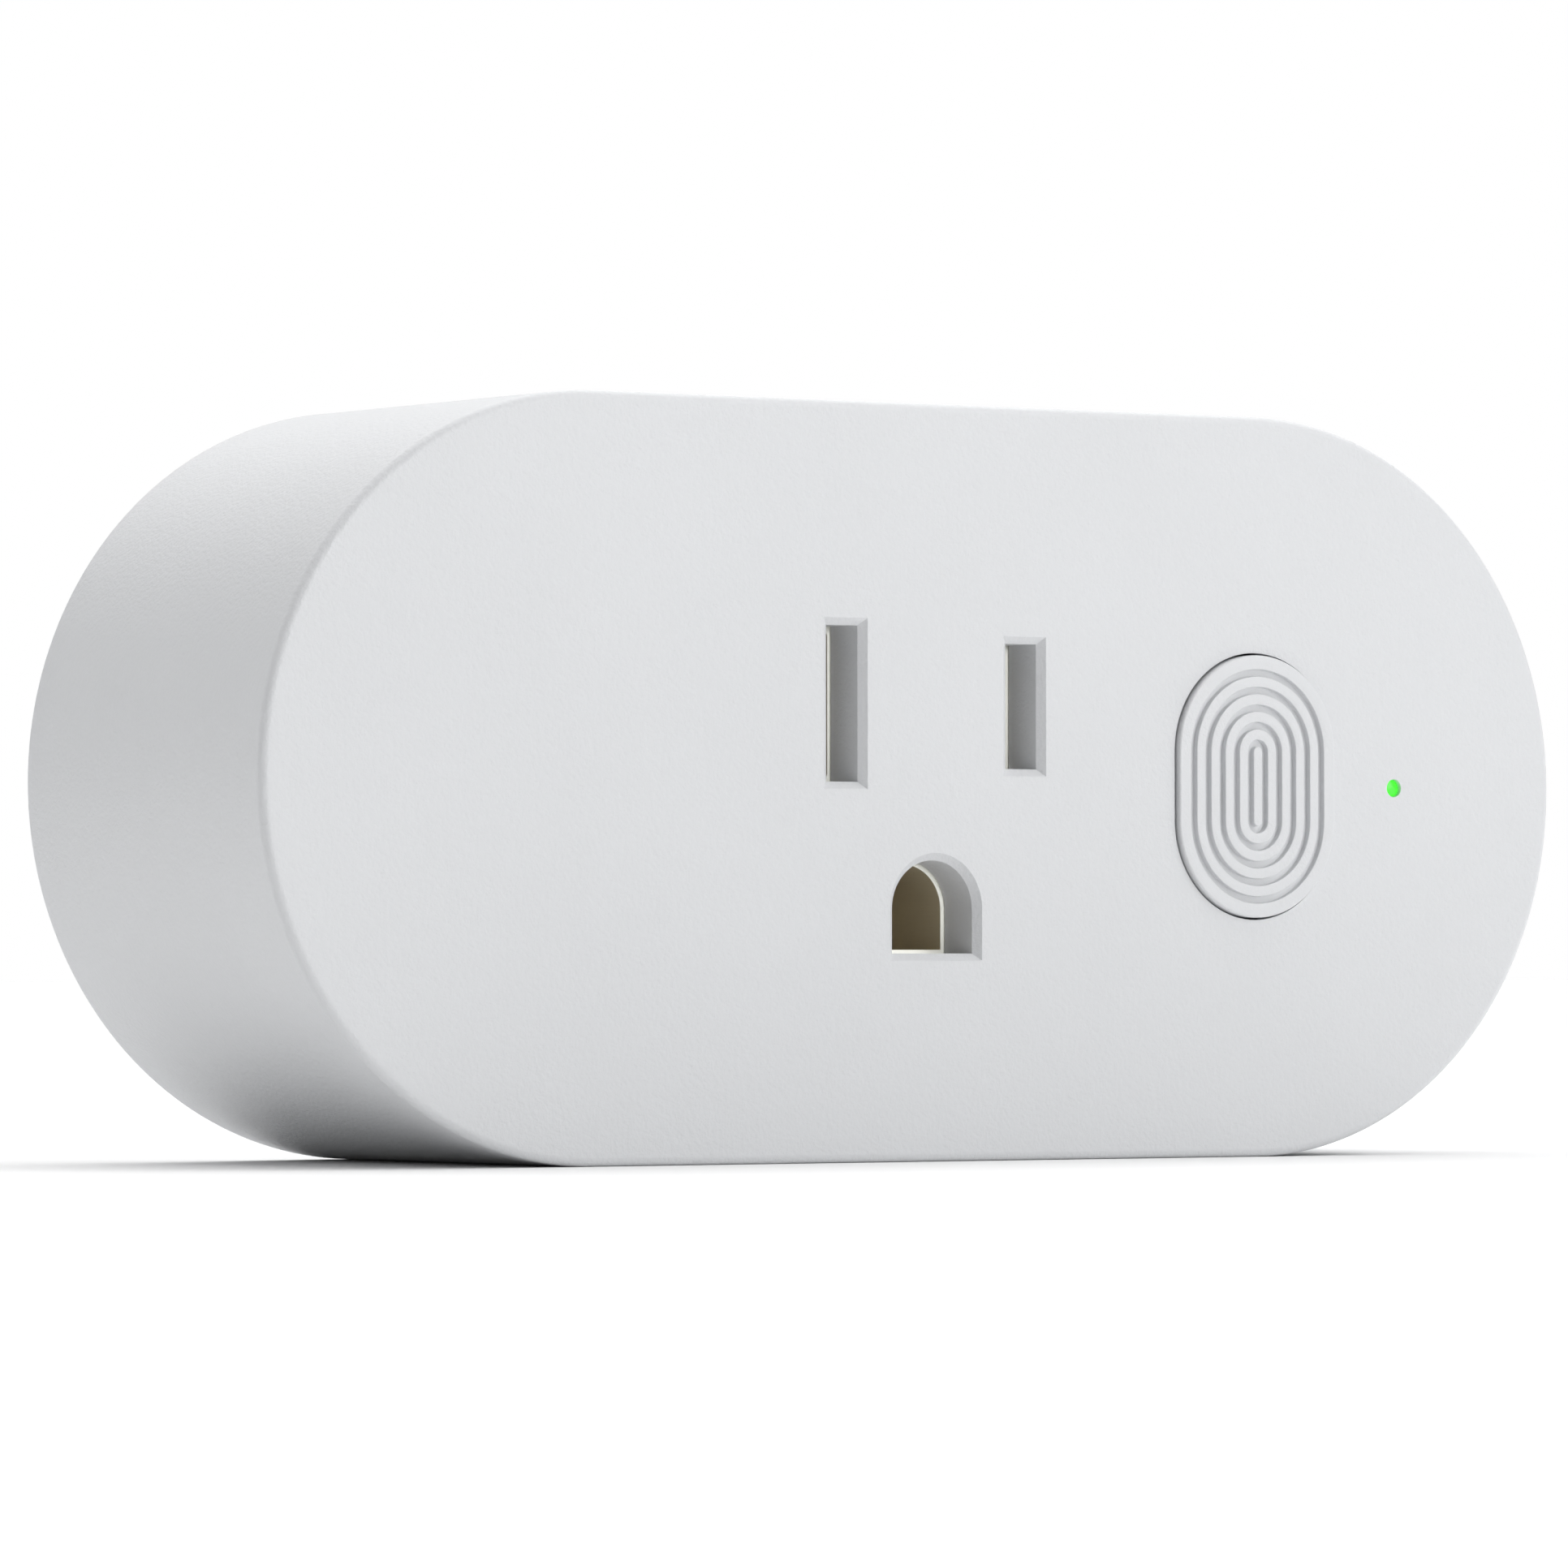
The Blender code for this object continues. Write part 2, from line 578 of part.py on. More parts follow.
def make_front_shell():
    shell = slab("front_shell", [pill(0)], "Y", FRONT_Y, 0)
    round_end(shell, "front", FRONT_FILLET, 4)
    round_end(shell, "rear", REAR_FILLET, 2)
    cut(shell, slab("hollow", [pill(SIDE_WALL)], "Y", FACE_REAR_Y, PAST))
    rooted = FACE_REAR_Y - BITE
    for name, place in boss_places().items():
        join(shell, post("boss_" + name, place, BOSS_RADIUS, rooted, LEDGE_Y + BITE))
    for i, place in enumerate(control_posts()):
        join(shell, post(f"front_post_{i}", place, POST_RADIUS, rooted, CONTROL_BOARD_Y - SEAT_GAP))
    for side in (-1, 1):
        x = side * RIB_X
        reach = HOLLOW_RADIUS + BITE
        low = (x - RIB_THICKNESS / 2, rooted, -reach)
        high = (x + RIB_THICKNESS / 2, FACE_REAR_Y + RIB_DEPTH, reach)
        join(shell, box(f"rib_{side + 1}", low, high))
    join(shell, slab("outlet_block", [outlet_outline(0)], "Y", rooted, OUTLET_REAR_Y))
    cut(shell, slab("cover_recess", [pill(RIM_WALL)], "Y", LEDGE_Y, PAST))
    for name, place in boss_places().items():
        pilot = SCREW_SHANK_RADIUS + FIT
        deep = HEAD_SEAT_Y - SCREW_LENGTH - 2 * SEAT_GAP
        cut(shell, post("pilot_" + name, place, pilot, deep, PAST))
    cut(shell, *outlet_cutters())
    hole = rounded(BUTTON_HOLE_WIDTH, BUTTON_HOLE_HEIGHT, BUTTON_HOLE_WIDTH / 2, steps=8)
    cut(shell, slab("button_hole", [hole], "Y", FRONT_Y - PAST, FACE_REAR_Y + PAST, (BUTTON_X, 0)))
    light_hole = circle(LIGHT_HOLE_RADIUS, steps=16)
    cut(shell, slab("light_hole", [light_hole], "Y", FRONT_Y - PAST, FACE_REAR_Y + PAST, (LIGHT_X, 0)))
    become_part(shell, "white_plastic")


def make_rear_cover():
    cover = slab("rear_cover", [pill(RIM_WALL + FIT)], "Y", COVER_FRONT_Y, 0)
    round_end(cover, "rear", REAR_FILLET, 2)
    rooted = COVER_FRONT_Y + BITE
    join(cover, slab("blade_pad", [outlet_outline(0)], "Y", PAD_Y, rooted))
    for i, place in enumerate(power_posts()):
        join(cover, post(f"power_post_{i}", place, POST_RADIUS, POWER_BOARD_REAR_Y + SEAT_GAP, rooted))
    for i, place in enumerate(control_posts()):
        join(cover, post(f"rear_post_{i}", place, POST_RADIUS, CONTROL_BOARD_REAR_Y + SEAT_GAP, rooted))
    corner = OUTLET_WIDTH / 2 - POST_RADIUS / 2
    for i, place in enumerate(((corner, LINE_STRAP_Z), (corner, OUTLET_BOTTOM), (-corner, OUTLET_BOTTOM))):
        join(cover, post(f"carrier_post_{i}", place, POST_RADIUS, CAP_REAR_Y + SEAT_GAP, rooted))
    deep = PAD_Y - PAST
    for name, x, height in (
        ("neutral", NEUTRAL_X, NEUTRAL_BLADE_HEIGHT),
        ("line", LINE_X, LINE_BLADE_HEIGHT),
    ):
        gap = rounded(BLADE_THICKNESS + 2 * FIT, height + 2 * FIT, 0)
        cut(cover, slab(name + "_gap", [gap], "Y", deep, PAST, (x, SLOT_LINE_Z)))
    cut(cover, slab("pin_gap", [circle(PIN_RADIUS + FIT)], "Y", deep, PAST, (0, GROUND_Z)))
    for name, place in boss_places().items():
        cut(cover, post("shank_" + name, place, SCREW_SHANK_RADIUS + FIT, deep, PAST))
        sink = circle(SCREW_HEAD_RADIUS + FIT)
        cut(cover, slab("sink_" + name, [sink], "Y", HEAD_SEAT_Y - FIT, PAST, place))
    become_part(cover, "white_plastic")


def make_screws():
    """Four alike screws, with a cross for the driver in the head."""
    top, head, shank = SCREW_HEAD_HEIGHT, SCREW_HEAD_RADIUS, SCREW_SHANK_RADIUS
    profile = [(0, top), (head - 0.25 * top, top), (head, 0.75 * top), (head, 0), (shank, 0)]
    profile += [(shank, shank - SCREW_LENGTH), (0, -SCREW_LENGTH)]
    pattern = turned("screw_pattern", profile, "up", (0, 0, 0))
    reach = 0.6 * head
    for i, (across, along) in enumerate(((reach, DRIVER_SLOT / 2), (DRIVER_SLOT / 2, reach))):
        low = (-across, -along, top - DRIVER_DEPTH)
        cut(pattern, box(f"driver_{i}", low, (across, along, top + PAST)))
    graph = bpy.context.evaluated_depsgraph_get()
    mesh = bpy.data.meshes.new_from_object(pattern.evaluated_get(graph))
    for name, (x, z) in boss_places().items():
        place = Matrix.Translation((x, HEAD_SEAT_Y, z)) @ FACINGS["rear"]
        become_part(add_helper("screw_" + name, mesh, place), "steel")
    bpy.data.objects.remove(pattern)


# Button and status light.


def button_outline(inset):
    width, height = BUTTON_HOLE_WIDTH - 2 * inset, BUTTON_HOLE_HEIGHT - 2 * inset
    return rounded(width, height, width / 2, steps=8)


def make_button_cap():
    """The cap, with its flange behind the face, its stem and the rings for grip."""
    top_y = FRONT_Y - BUTTON_PROUD
    flange_end = BUTTON_FLANGE_Y + BUTTON_FLANGE
    place = (BUTTON_X, 0)
    cap = slab("button_cap", [button_outline(BUTTON_GAP)], "Y", top_y, flange_end, place)
    round_end(cap, "front", BUTTON_FILLET, 2)
    join(cap, slab("cap_flange", [button_outline(-BUTTON_LIP)], "Y", BUTTON_FLANGE_Y, flange_end, place))
    inside = button_outline(BUTTON_GAP + BUTTON_WALL)
    cut(cap, slab("cap_hollow", [inside], "Y", top_y + BUTTON_FACE, STEM_END_Y + PAST, place))
    join(cap, post("cap_stem", place, STEM_RADIUS, top_y + BUTTON_FACE - BITE, STEM_END_Y))
    straight = BUTTON_HOLE_HEIGHT - BUTTON_HOLE_WIDTH
    for i in range(GROOVE_COUNT):
        middle = FIRST_GROOVE_RADIUS + i * GROOVE_PITCH
        outer, inner = middle + GROOVE_WIDTH / 2, middle - GROOVE_WIDTH / 2
        rings = [rounded(2 * r, 2 * r + straight, r, steps=5) for r in (outer, inner)]
        cut(cap, slab(f"groove_{i}", rings, "Y", top_y - PAST, top_y + GROOVE_DEPTH, place))
    become_part(cap, "white_plastic")


def make_switch():
    """A push switch under the button: its body, its plunger and the plate that holds the plunger in."""
    base_y = CONTROL_BOARD_Y - SEAT_GAP
    front_y = base_y - SWITCH_BODY_HEIGHT
    half = SWITCH_SIDE / 2
    hole = PLUNGER_RADIUS + FIT
    body = box("switch_body", (BUTTON_X - half, front_y, -half), (BUTTON_X + half, base_y, half))
    pocket_y = PLUNGER_TIP_Y + PLUNGER_LENGTH + 2 * BUTTON_TRAVEL
    cut(body, post("plunger_pocket", (BUTTON_X, 0), hole, front_y - PAST, pocket_y))
    become_part(body, "black_plastic")
    sheet = [rounded(SWITCH_SIDE, SWITCH_SIDE, SWITCH_CORNER, steps=2), circle(hole, steps=16)]
    plate = slab("switch_plate", sheet, "Y", front_y - FIT - SWITCH_PLATE, front_y - FIT, (BUTTON_X, 0))
    become_part(plate, "steel")
    end = (BUTTON_X, PLUNGER_TIP_Y + PLUNGER_LENGTH, 0)
    plunger = rounded_cylinder("switch_plunger", PLUNGER_RADIUS, PLUNGER_LENGTH, PLUNGER_EDGE, "front", end)
    become_part(plunger, "black_plastic")


def make_status_light():
    """The light and the clear pipe that brings it to the face."""
    width, deep, height = LED_SIZE
    rear_y = CONTROL_BOARD_Y - SEAT_GAP
    low = (LIGHT_X - width / 2, rear_y - deep, -height / 2)
    led = box("status_led", low, (LIGHT_X + width / 2, rear_y, height / 2))
    soften(led, LENS_EDGE)
    become_part(led, "clear_plastic")
    tip = LIGHT_HOLE_RADIUS - LENS_GAP
    tip_y = FRONT_Y + LENS_RECESS
    shoulder = FACE_REAR_Y + SEAT_GAP - tip_y
    length = rear_y - deep - SEAT_GAP - tip_y
    flange_end = -shoulder - PIPE_FLANGE
    profile = [(0, 0), (tip - LENS_EDGE, 0), (tip, -LENS_EDGE), (tip, -shoulder)]
    profile += [(PIPE_FLANGE_RADIUS, -shoulder), (PIPE_FLANGE_RADIUS, flange_end), (PIPE_RADIUS, flange_end)]
    profile += [(PIPE_RADIUS, -length), (0, -length)]
    become_part(turned("light_pipe", profile, "front", (LIGHT_X, tip_y, 0), 16), "clear_plastic")


# Blades, contacts and what joins them.


def make_blade(name, x, height):
    """A flat blade with a round-cornered tip and a flange that the rear cover holds."""
    tip = BLADE_TIP
    half = height / 2
    outline = [(FLANGE_FRONT_Y, -half)] + arc((BLADE_LENGTH - tip, tip - half), tip, -90, 0, 4)
    outline += arc((BLADE_LENGTH - tip, half - tip), tip, 0, 90, 4) + [(FLANGE_FRONT_Y, half)]
    side = BLADE_THICKNESS / 2
    blade = slab(name, [outline], "X", x - side, x + side, (0, SLOT_LINE_Z))
    soften(blade, BLADE_EDGE)
    low = (x - side - FLANGE_LIP, FLANGE_FRONT_Y, SLOT_LINE_Z - half - FLANGE_LIP / 2)
    high = (x + side + FLANGE_LIP, FLANGE_REAR_Y, SLOT_LINE_Z + half + FLANGE_LIP / 2)
    join(blade, box(name + "_flange", low, high))
    become_part(blade, "nickel")


def make_ground_pin():
    flange = PIN_RADIUS + FLANGE_LIP
    dome = [(x, z) for z, x in arc((PIN_LENGTH - PIN_RADIUS, 0), PIN_RADIUS, 0, 90, 8)]
    profile = [(0, PIN_LENGTH)] + dome[1:]
    profile += [(PIN_RADIUS, FLANGE_REAR_Y), (flange, FLANGE_REAR_Y)]
    profile += [(flange, FLANGE_FRONT_Y), (0, FLANGE_FRONT_Y)]
    become_part(turned("ground_pin", profile, "rear", (0, 0, GROUND_Z)), "nickel")


def leaves(name, spread, height, place, start_y):
    """Two spring leaves that lean in, bow out and meet in a bridge, as one bent strip."""
    x, z = place
    out = spread + SLEEVE_WALL / 2
    bridge_y = CONTACT_REAR_Y - LEAF_THICKNESS / 2
    pinch_y = start_y + PINCH_SHARE * (bridge_y - start_y)
    bow = out + LEAF_SPREAD
    side = [(out, start_y), (out - LEAF_PINCH, pinch_y), (bow, bridge_y - BOW_DEPTH), (bow, bridge_y)]
    path = [(-across, y) for across, y in side] + side[::-1]
    return slab(name, [strip(path, LEAF_THICKNESS)], "Z", z - height / 2, z + height / 2, (x, 0))


def make_contact(name, sleeve_rings, length, spread, height, place, tail_end):
    """A sleeve behind its slot, two spring leaves, and a tail through the carrier's cap."""
    x, z = place
    sleeve_end = CONTACT_FRONT_Y + length
    contact = slab(name, sleeve_rings, "Y", CONTACT_FRONT_Y, sleeve_end, place)
    join(contact, leaves(name + "_leaves", spread, height, place, sleeve_end - BITE))
    low = (x - TAIL_THICKNESS / 2, CONTACT_REAR_Y - LEAF_THICKNESS / 2, z - TAIL_WIDTH / 2)
    join(contact, box(name + "_tail", low, (x + TAIL_THICKNESS / 2, tail_end, z + TAIL_WIDTH / 2)))
    become_part(contact, "brass")


def make_contacts():
    for name, x, height, tail_end in (
        ("neutral_contact", NEUTRAL_X, NEUTRAL_SLOT_HEIGHT, STRAP_FRONT_Y - SEAT_GAP),
        ("line_contact", LINE_X, LINE_SLOT_HEIGHT, LOAD_FRONT_Y - SEAT_GAP),
    ):
        width, tall = SLOT_WIDTH - 2 * SLEEVE_INSET, height - 2 * SLEEVE_INSET
        rings = [
            rounded(width + 2 * wall, tall + 2 * wall, SLEEVE_CORNER + wall, steps=4)
            for wall in (SLEEVE_WALL, 0)
        ]
        place = (x, SLOT_LINE_Z)
        make_contact(name, rings, SLEEVE_LENGTH, width / 2, LEAF_HEIGHT, place, tail_end)
    rings = [
        arched(GROUND_HOLE_RADIUS - inset, GROUND_HOLE_FLAT - inset)
        for inset in (SLEEVE_INSET - SLEEVE_WALL, SLEEVE_INSET)
    ]
    spread = GROUND_HOLE_RADIUS - SLEEVE_INSET
    tail_end = STRAP_FRONT_Y - SEAT_GAP
    ground_leaf = 0.75 * LEAF_HEIGHT
    make_contact("ground_contact", rings, GROUND_SLEEVE_LENGTH, spread, ground_leaf, (0, GROUND_Z), tail_end)


def make_carrier():
    """The block that holds the three contacts apart, and the cap that closes it."""
    room = SLEEVE_WALL + LEAF_SPREAD + CARRIER_GAP
    places = (
        (NEUTRAL_X, SLOT_LINE_Z, SLOT_WIDTH / 2, NEUTRAL_SLOT_HEIGHT / 2),
        (LINE_X, SLOT_LINE_Z, SLOT_WIDTH / 2, LINE_SLOT_HEIGHT / 2),
        (0, GROUND_Z, GROUND_HOLE_RADIUS, GROUND_HOLE_RADIUS),
    )
    pockets, slits = [], []
    for x, z, half_width, half_height in places:
        width, height = 2 * (half_width + room), 2 * (half_height + SLEEVE_WALL + FIT)
        pockets.append(rounded(width, height, POCKET_CORNER, (x, z), steps=2))
        slit = (TAIL_THICKNESS + 2 * SEAT_GAP, TAIL_WIDTH + 2 * SEAT_GAP)
        slits.append(rounded(*slit, 0, (x, z)))
    outline = outlet_outline(0)
    carrier = slab("contact_carrier", [outline] + pockets, "Y", CARRIER_FRONT_Y, CARRIER_REAR_Y)
    become_part(carrier, "cream_plastic")
    become_part(slab("carrier_cap", [outline] + slits, "Y", CAP_FRONT_Y, CAP_REAR_Y), "cream_plastic")


def make_straps():
    """Copper between the blades, the contacts and the power board."""
    half = STRAP_WIDTH / 2
    board_x = -(BOARD_EDGE_X + STRAP_REACH)
    outline = rectangle((board_x, SLOT_LINE_Z - half), (NEUTRAL_X + half, SLOT_LINE_Z + half))
    become_part(slab("neutral_strap", [outline], "Y", STRAP_FRONT_Y, STRAP_REAR_Y), "copper")
    path = [(LINE_X, SLOT_LINE_Z - half), (LINE_X, LINE_STRAP_Z), (board_x, LINE_STRAP_Z)]
    become_part(slab("line_strap", [strip(path, STRAP_WIDTH)], "Y", STRAP_FRONT_Y, STRAP_REAR_Y), "copper")
    plate = [circle(PIN_RADIUS + FLANGE_LIP)]
    become_part(slab("ground_strap", plate, "Y", STRAP_FRONT_Y, STRAP_REAR_Y, (0, GROUND_Z)), "copper")
    path = [(LINE_X, SLOT_LINE_Z + half), (LINE_X, LOAD_Z), (board_x, LOAD_Z)]
    load = slab("load_strap", [strip(path, STRAP_WIDTH)], "Y", LOAD_FRONT_Y, LOAD_REAR_Y)
    foot_x = -(BOARD_EDGE_X + SEAT_GAP)
    low, high = (board_x, LOAD_FRONT_Y, LOAD_Z - half), (foot_x, STRAP_REAR_Y, LOAD_Z + half)
    join(load, box("load_foot", low, high))
    become_part(load, "copper")
    reach = half + FLANGE_LIP
    sheet = rectangle((LINE_X - reach, LOAD_Z - half), (LINE_X + reach, SLOT_LINE_Z + 2 * half))
    become_part(slab("line_insulator", [sheet], "Y", INSULATOR_FRONT_Y, INSULATOR_REAR_Y), "paper")


# Boards and what stands on them.


def make_board(name, side, low, high):
    """A board that fills one round end of the casing, cut out around the screw bosses."""
    end = side * END_X
    if side > 0:
        outline = arc((end, 0), BOARD_RADIUS, -90, 90, PILL_STEPS)
    else:
        outline = arc((end, 0), BOARD_RADIUS, 90, 270, PILL_STEPS)
    edge = side * BOARD_EDGE_X
    outline += [(edge, side * BOARD_RADIUS), (edge, -side * BOARD_RADIUS)]
    board = slab(name, [outline], "Y", low, high)
    for corner, place in boss_places().items():
        if side * place[0] > 0:
            around = BOSS_RADIUS + BOARD_GAP
            cut(board, post(f"{name}_{corner}", place, around, low - PAST, high + PAST))
    become_part(board, "board_green")


def make_control_parts():
    """What the control board carries on its rear side."""
    rear = CONTROL_BOARD_REAR_Y + SEAT_GAP
    left = BOARD_EDGE_X + MODULE_INSET
    width, height, thick = MODULE_SIZE
    module = box("radio_module", (left, rear, -height / 2), (left + width, rear + thick, height / 2))
    become_part(module, "board_green")
    can_y = rear + thick + SEAT_GAP
    wall, margin = SHIELD_WALL, SHIELD_MARGIN
    low = Vector((left + margin, can_y, margin - height / 2))
    high = Vector((left + margin + SHIELD_WIDTH, can_y + SHIELD_DEPTH, height / 2 - margin))
    can = box("radio_shield", low, high)
    inside = Vector((wall, -PAST, wall)), Vector((-wall, -wall, -wall))
    cut(can, box("shield_hollow", low + inside[0], high + inside[1]))
    become_part(can, "nickel")
    corner = Vector((BOARD_EDGE_X + REGULATOR_INSET, rear, REGULATOR_LOW_Z))
    chip = box("voltage_regulator", corner, corner + Vector(REGULATOR_SIZE))
    soften(chip, CHIP_EDGE)
    become_part(chip, "black_plastic")


def make_ribbon():
    """The ribbon cable between the two boards, and a connector at each end."""
    x = BOARD_EDGE_X + CONNECTOR_INSET + CONNECTOR_WIDTH / 2
    half, up = CONNECTOR_WIDTH / 2, CONNECTOR_HEIGHT / 2
    control_y = CONTROL_BOARD_REAR_Y + SEAT_GAP
    control_end = control_y + CONTROL_CONNECTOR_DEPTH
    power_y = POWER_BOARD_Y - SEAT_GAP
    power_end = power_y - POWER_CONNECTOR_DEPTH
    for name, centre, low_y, high_y in (
        ("control_connector", x, control_y, control_end),
        ("power_connector", -x, power_end, power_y),
    ):
        housing = box(name, (centre - half, low_y, RIBBON_Z - up), (centre + half, high_y, RIBBON_Z + up))
        soften(housing, CHIP_EDGE)
        become_part(housing, "cream_plastic")
    start, end = control_end + SEAT_GAP, power_end - SEAT_GAP
    run_y = (start + end) / 2
    turn = RIBBON_BEND
    path = [(x, start)] + arc((x - turn, run_y - turn), turn, 0, 90, 3)
    path += arc((turn - x, run_y + turn), turn, 270, 180, 3) + [(-x, end)]
    low, high = RIBBON_Z - RIBBON_WIDTH / 2, RIBBON_Z + RIBBON_WIDTH / 2
    become_part(slab("ribbon_cable", [strip(path, RIBBON_THICKNESS)], "Z", low, high), "ribbon_grey")


def make_power_parts():
    """What the power board carries beside the relay."""
    foot = POWER_BOARD_Y - SEAT_GAP
    cap_x = RELAY_LEFT - CAN_ROW
    cans = (
        ("bulk_capacitor", BULK_CAN, (cap_x, BULK_Z), "sleeve_black"),
        ("output_capacitor", OUTPUT_CAN, (cap_x, OUTPUT_Z), "sleeve_black"),
        ("choke", CHOKE_CAN, (cap_x - CHOKE_ROW, 0), "ferrite"),
    )
    for name, sizes, (x, z), paint in cans:
        become_part(rounded_cylinder(name, *sizes, "front", (x, foot, z)), paint)
    chips = (
        ("bridge_rectifier", RECTIFIER_PLACE, RECTIFIER_SIZE),
        ("converter_chip", CONVERTER_PLACE, CONVERTER_SIZE),
    )
    for name, (x, z), (width, deep, height) in chips:
        low, high = (x - width / 2, foot - deep, z - height / 2), (x + width / 2, foot, z + height / 2)
        chip = box(name, low, high)
        soften(chip, CHIP_EDGE)
        become_part(chip, "black_plastic")
    disc, thick, edge = VARISTOR_DISC
    place = (RELAY_X, foot - disc, -RELAY_SIZE[2] / 2 - 2 * thick)
    become_part(rounded_cylinder("varistor", disc, thick, edge, "up", place), "varistor_blue")
    radius = RESISTOR_BODY[0]
    place = (RELAY_LEFT, foot - radius, RELAY_SIZE[2] / 2 + radius + 2 * SEAT_GAP)
    become_part(rounded_cylinder("fuse_resistor", *RESISTOR_BODY, "right", place), "resistor_green")


def relay_y(height):
    """Where a height over the relay's foot lies."""
    return POWER_BOARD_Y - SEAT_GAP - height


def make_relay_case():
    width, tall, length = RELAY_SIZE
    low = Vector((RELAY_X - width / 2, relay_y(tall), -length / 2))
    high = Vector((RELAY_X + width / 2, relay_y(RELAY_BASE + SEAT_GAP), length / 2))
    case = box("relay_cover", low, high)
    soften(case, RELAY_EDGE, 2)
    wall = RELAY_WALL
    inside = low + Vector((wall, wall, wall)), high + Vector((-wall, PAST, -wall))
    cut(case, box("relay_hollow", *inside))
    become_part(case, "relay_blue")
    low.y, high.y = relay_y(RELAY_BASE), relay_y(0)
    become_part(box("relay_base", low, high), "black_plastic")


def make_relay_magnet():
    """Yoke, core, bobbin and coil."""
    foot = RELAY_BASE + SEAT_GAP + YOKE_THICKNESS / 2
    axis_z = HINGE_Z - CORE_DROP
    path = [(relay_y(foot), axis_z - POLE_RADIUS), (relay_y(foot), HINGE_Z), (relay_y(YOKE_TOP), HINGE_Z)]
    half = YOKE_WIDTH / 2
    yoke = slab("relay_yoke", [strip(path, YOKE_THICKNESS)], "X", RELAY_X - half, RELAY_X + half)
    become_part(yoke, "steel")
    base = foot + YOKE_THICKNESS / 2 + SEAT_GAP
    at = (RELAY_X, relay_y(base), axis_z)
    bore, tube = CORE_RADIUS + FIT, CORE_RADIUS + FIT + BOBBIN_TUBE
    high, step = BOBBIN_HEIGHT, BOBBIN_FLANGE
    spool = [(bore, high), (BOBBIN_RADIUS, high), (BOBBIN_RADIUS, high - step), (tube, high - step)]
    spool += [(tube, step), (BOBBIN_RADIUS, step), (BOBBIN_RADIUS, 0), (bore, 0)]
    become_part(turned("relay_bobbin", spool, "front", at, ring=True), "black_plastic")
    inner, outer = tube + FIT, BOBBIN_RADIUS - FIT
    coil = [(inner, high - step - FIT), (outer, high - step - FIT), (outer, step + FIT), (inner, step + FIT)]
    become_part(turned("relay_coil", coil, "front", at, ring=True), "copper")
    top = YOKE_TOP - base
    pole = [(0, top), (POLE_RADIUS, top), (POLE_RADIUS, top - POLE_HEIGHT), (CORE_RADIUS, top - POLE_HEIGHT)]
    become_part(turned("relay_core", pole + [(CORE_RADIUS, 0), (0, 0)], "front", at), "steel")


def make_relay_contacts():
    """The armature and its contact arm, swung open about the yoke's edge, and the contact that they meet."""
    hinge = (RELAY_X, relay_y(YOKE_TOP + HINGE_GAP), HINGE_Z)
    swing = Matrix.Translation(hinge) @ Matrix.Rotation(math.radians(-RELAY_ANGLE), 4, "X")
    half = YOKE_WIDTH / 2 - ARMATURE_INSET
    armature = box("relay_armature", (-half, -ARMATURE_THICKNESS, -ARMATURE_LENGTH), (half, 0, ARMATURE_HEEL))
    arm_y = -ARMATURE_THICKNESS - FIT
    arm_half = ARM_SHARE * half
    low = (-arm_half, arm_y - ARM_THICKNESS, -RIVET_DROP - RIVET_RADIUS - ARM_END)
    arm = box("relay_contact_arm", low, (arm_half, arm_y, -ARM_START))
    tip = RIVET_RADIUS - RIVET_EDGE
    reach = -arm_y - RIVET_REACH
    root = -BITE / 4
    pad = [(0, reach), (tip, reach), (RIVET_RADIUS, reach - RIVET_EDGE), (RIVET_RADIUS, root), (0, root)]
    rivet = turned("arm_rivet", pad, "rear", (0, arm_y, -RIVET_DROP), 16)
    join(arm, rivet)
    for thing, paint in ((armature, "steel"), (arm, "copper")):
        from_hinge = thing.matrix_world.translation.copy()
        thing.data.transform(Matrix.Translation(from_hinge))
        thing.matrix_world = swing
        become_part(thing, paint)
    rivet.matrix_world = swing @ rivet.matrix_world
    meet = YOKE_TOP + HINGE_GAP + RIVET_REACH - FIT
    flag = meet - FIXED_FLAG
    rivet_z = HINGE_Z - RIVET_DROP
    stem_z = 2 * RELAY_WALL - RELAY_SIZE[2] / 2
    base_y = relay_y(RELAY_BASE + SEAT_GAP)
    path = [(base_y, stem_z), (relay_y(flag), stem_z), (relay_y(flag), rivet_z + FIXED_REACH)]
    side = FIXED_WIDTH / 2
    fixed = slab("relay_fixed_contact", [strip(path, FIXED_THICKNESS)], "X", RELAY_X - side, RELAY_X + side)
    pad = [(0, FIXED_FLAG), (tip, FIXED_FLAG)]
    pad += [(RIVET_RADIUS, FIXED_FLAG - RIVET_EDGE), (RIVET_RADIUS, 0), (0, 0)]
    join(fixed, turned("fixed_rivet", pad, "front", (RELAY_X, relay_y(flag), rivet_z), 16))
    become_part(fixed, "copper")


def main():
    for old in list(bpy.data.objects):
        bpy.data.objects.remove(old, do_unlink=True)
    new_collection("smart_plug")
    new_collection("cutters")
    make_front_shell()
    make_rear_cover()
    make_screws()
    make_button_cap()
    make_switch()
    make_status_light()
    make_blade("neutral_blade", NEUTRAL_X, NEUTRAL_BLADE_HEIGHT)
    make_blade("line_blade", LINE_X, LINE_BLADE_HEIGHT)
    make_ground_pin()
    make_contacts()
    make_carrier()
    make_straps()
    make_board("power_board", -1, POWER_BOARD_Y, POWER_BOARD_REAR_Y)
    make_board("control_board", 1, CONTROL_BOARD_Y, CONTROL_BOARD_REAR_Y)
    make_control_parts()
    make_ribbon()
    make_power_parts()
    make_relay_case()
    make_relay_magnet()
    make_relay_contacts()


main()
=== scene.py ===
"""The looks of the smart plug: finer meshes for what shows, a finish for every piece, and a plain studio.

Metres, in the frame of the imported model: +X is to the right of the outlet face, -Y is the way it faces
and +Z is up.
"""

import json
import math

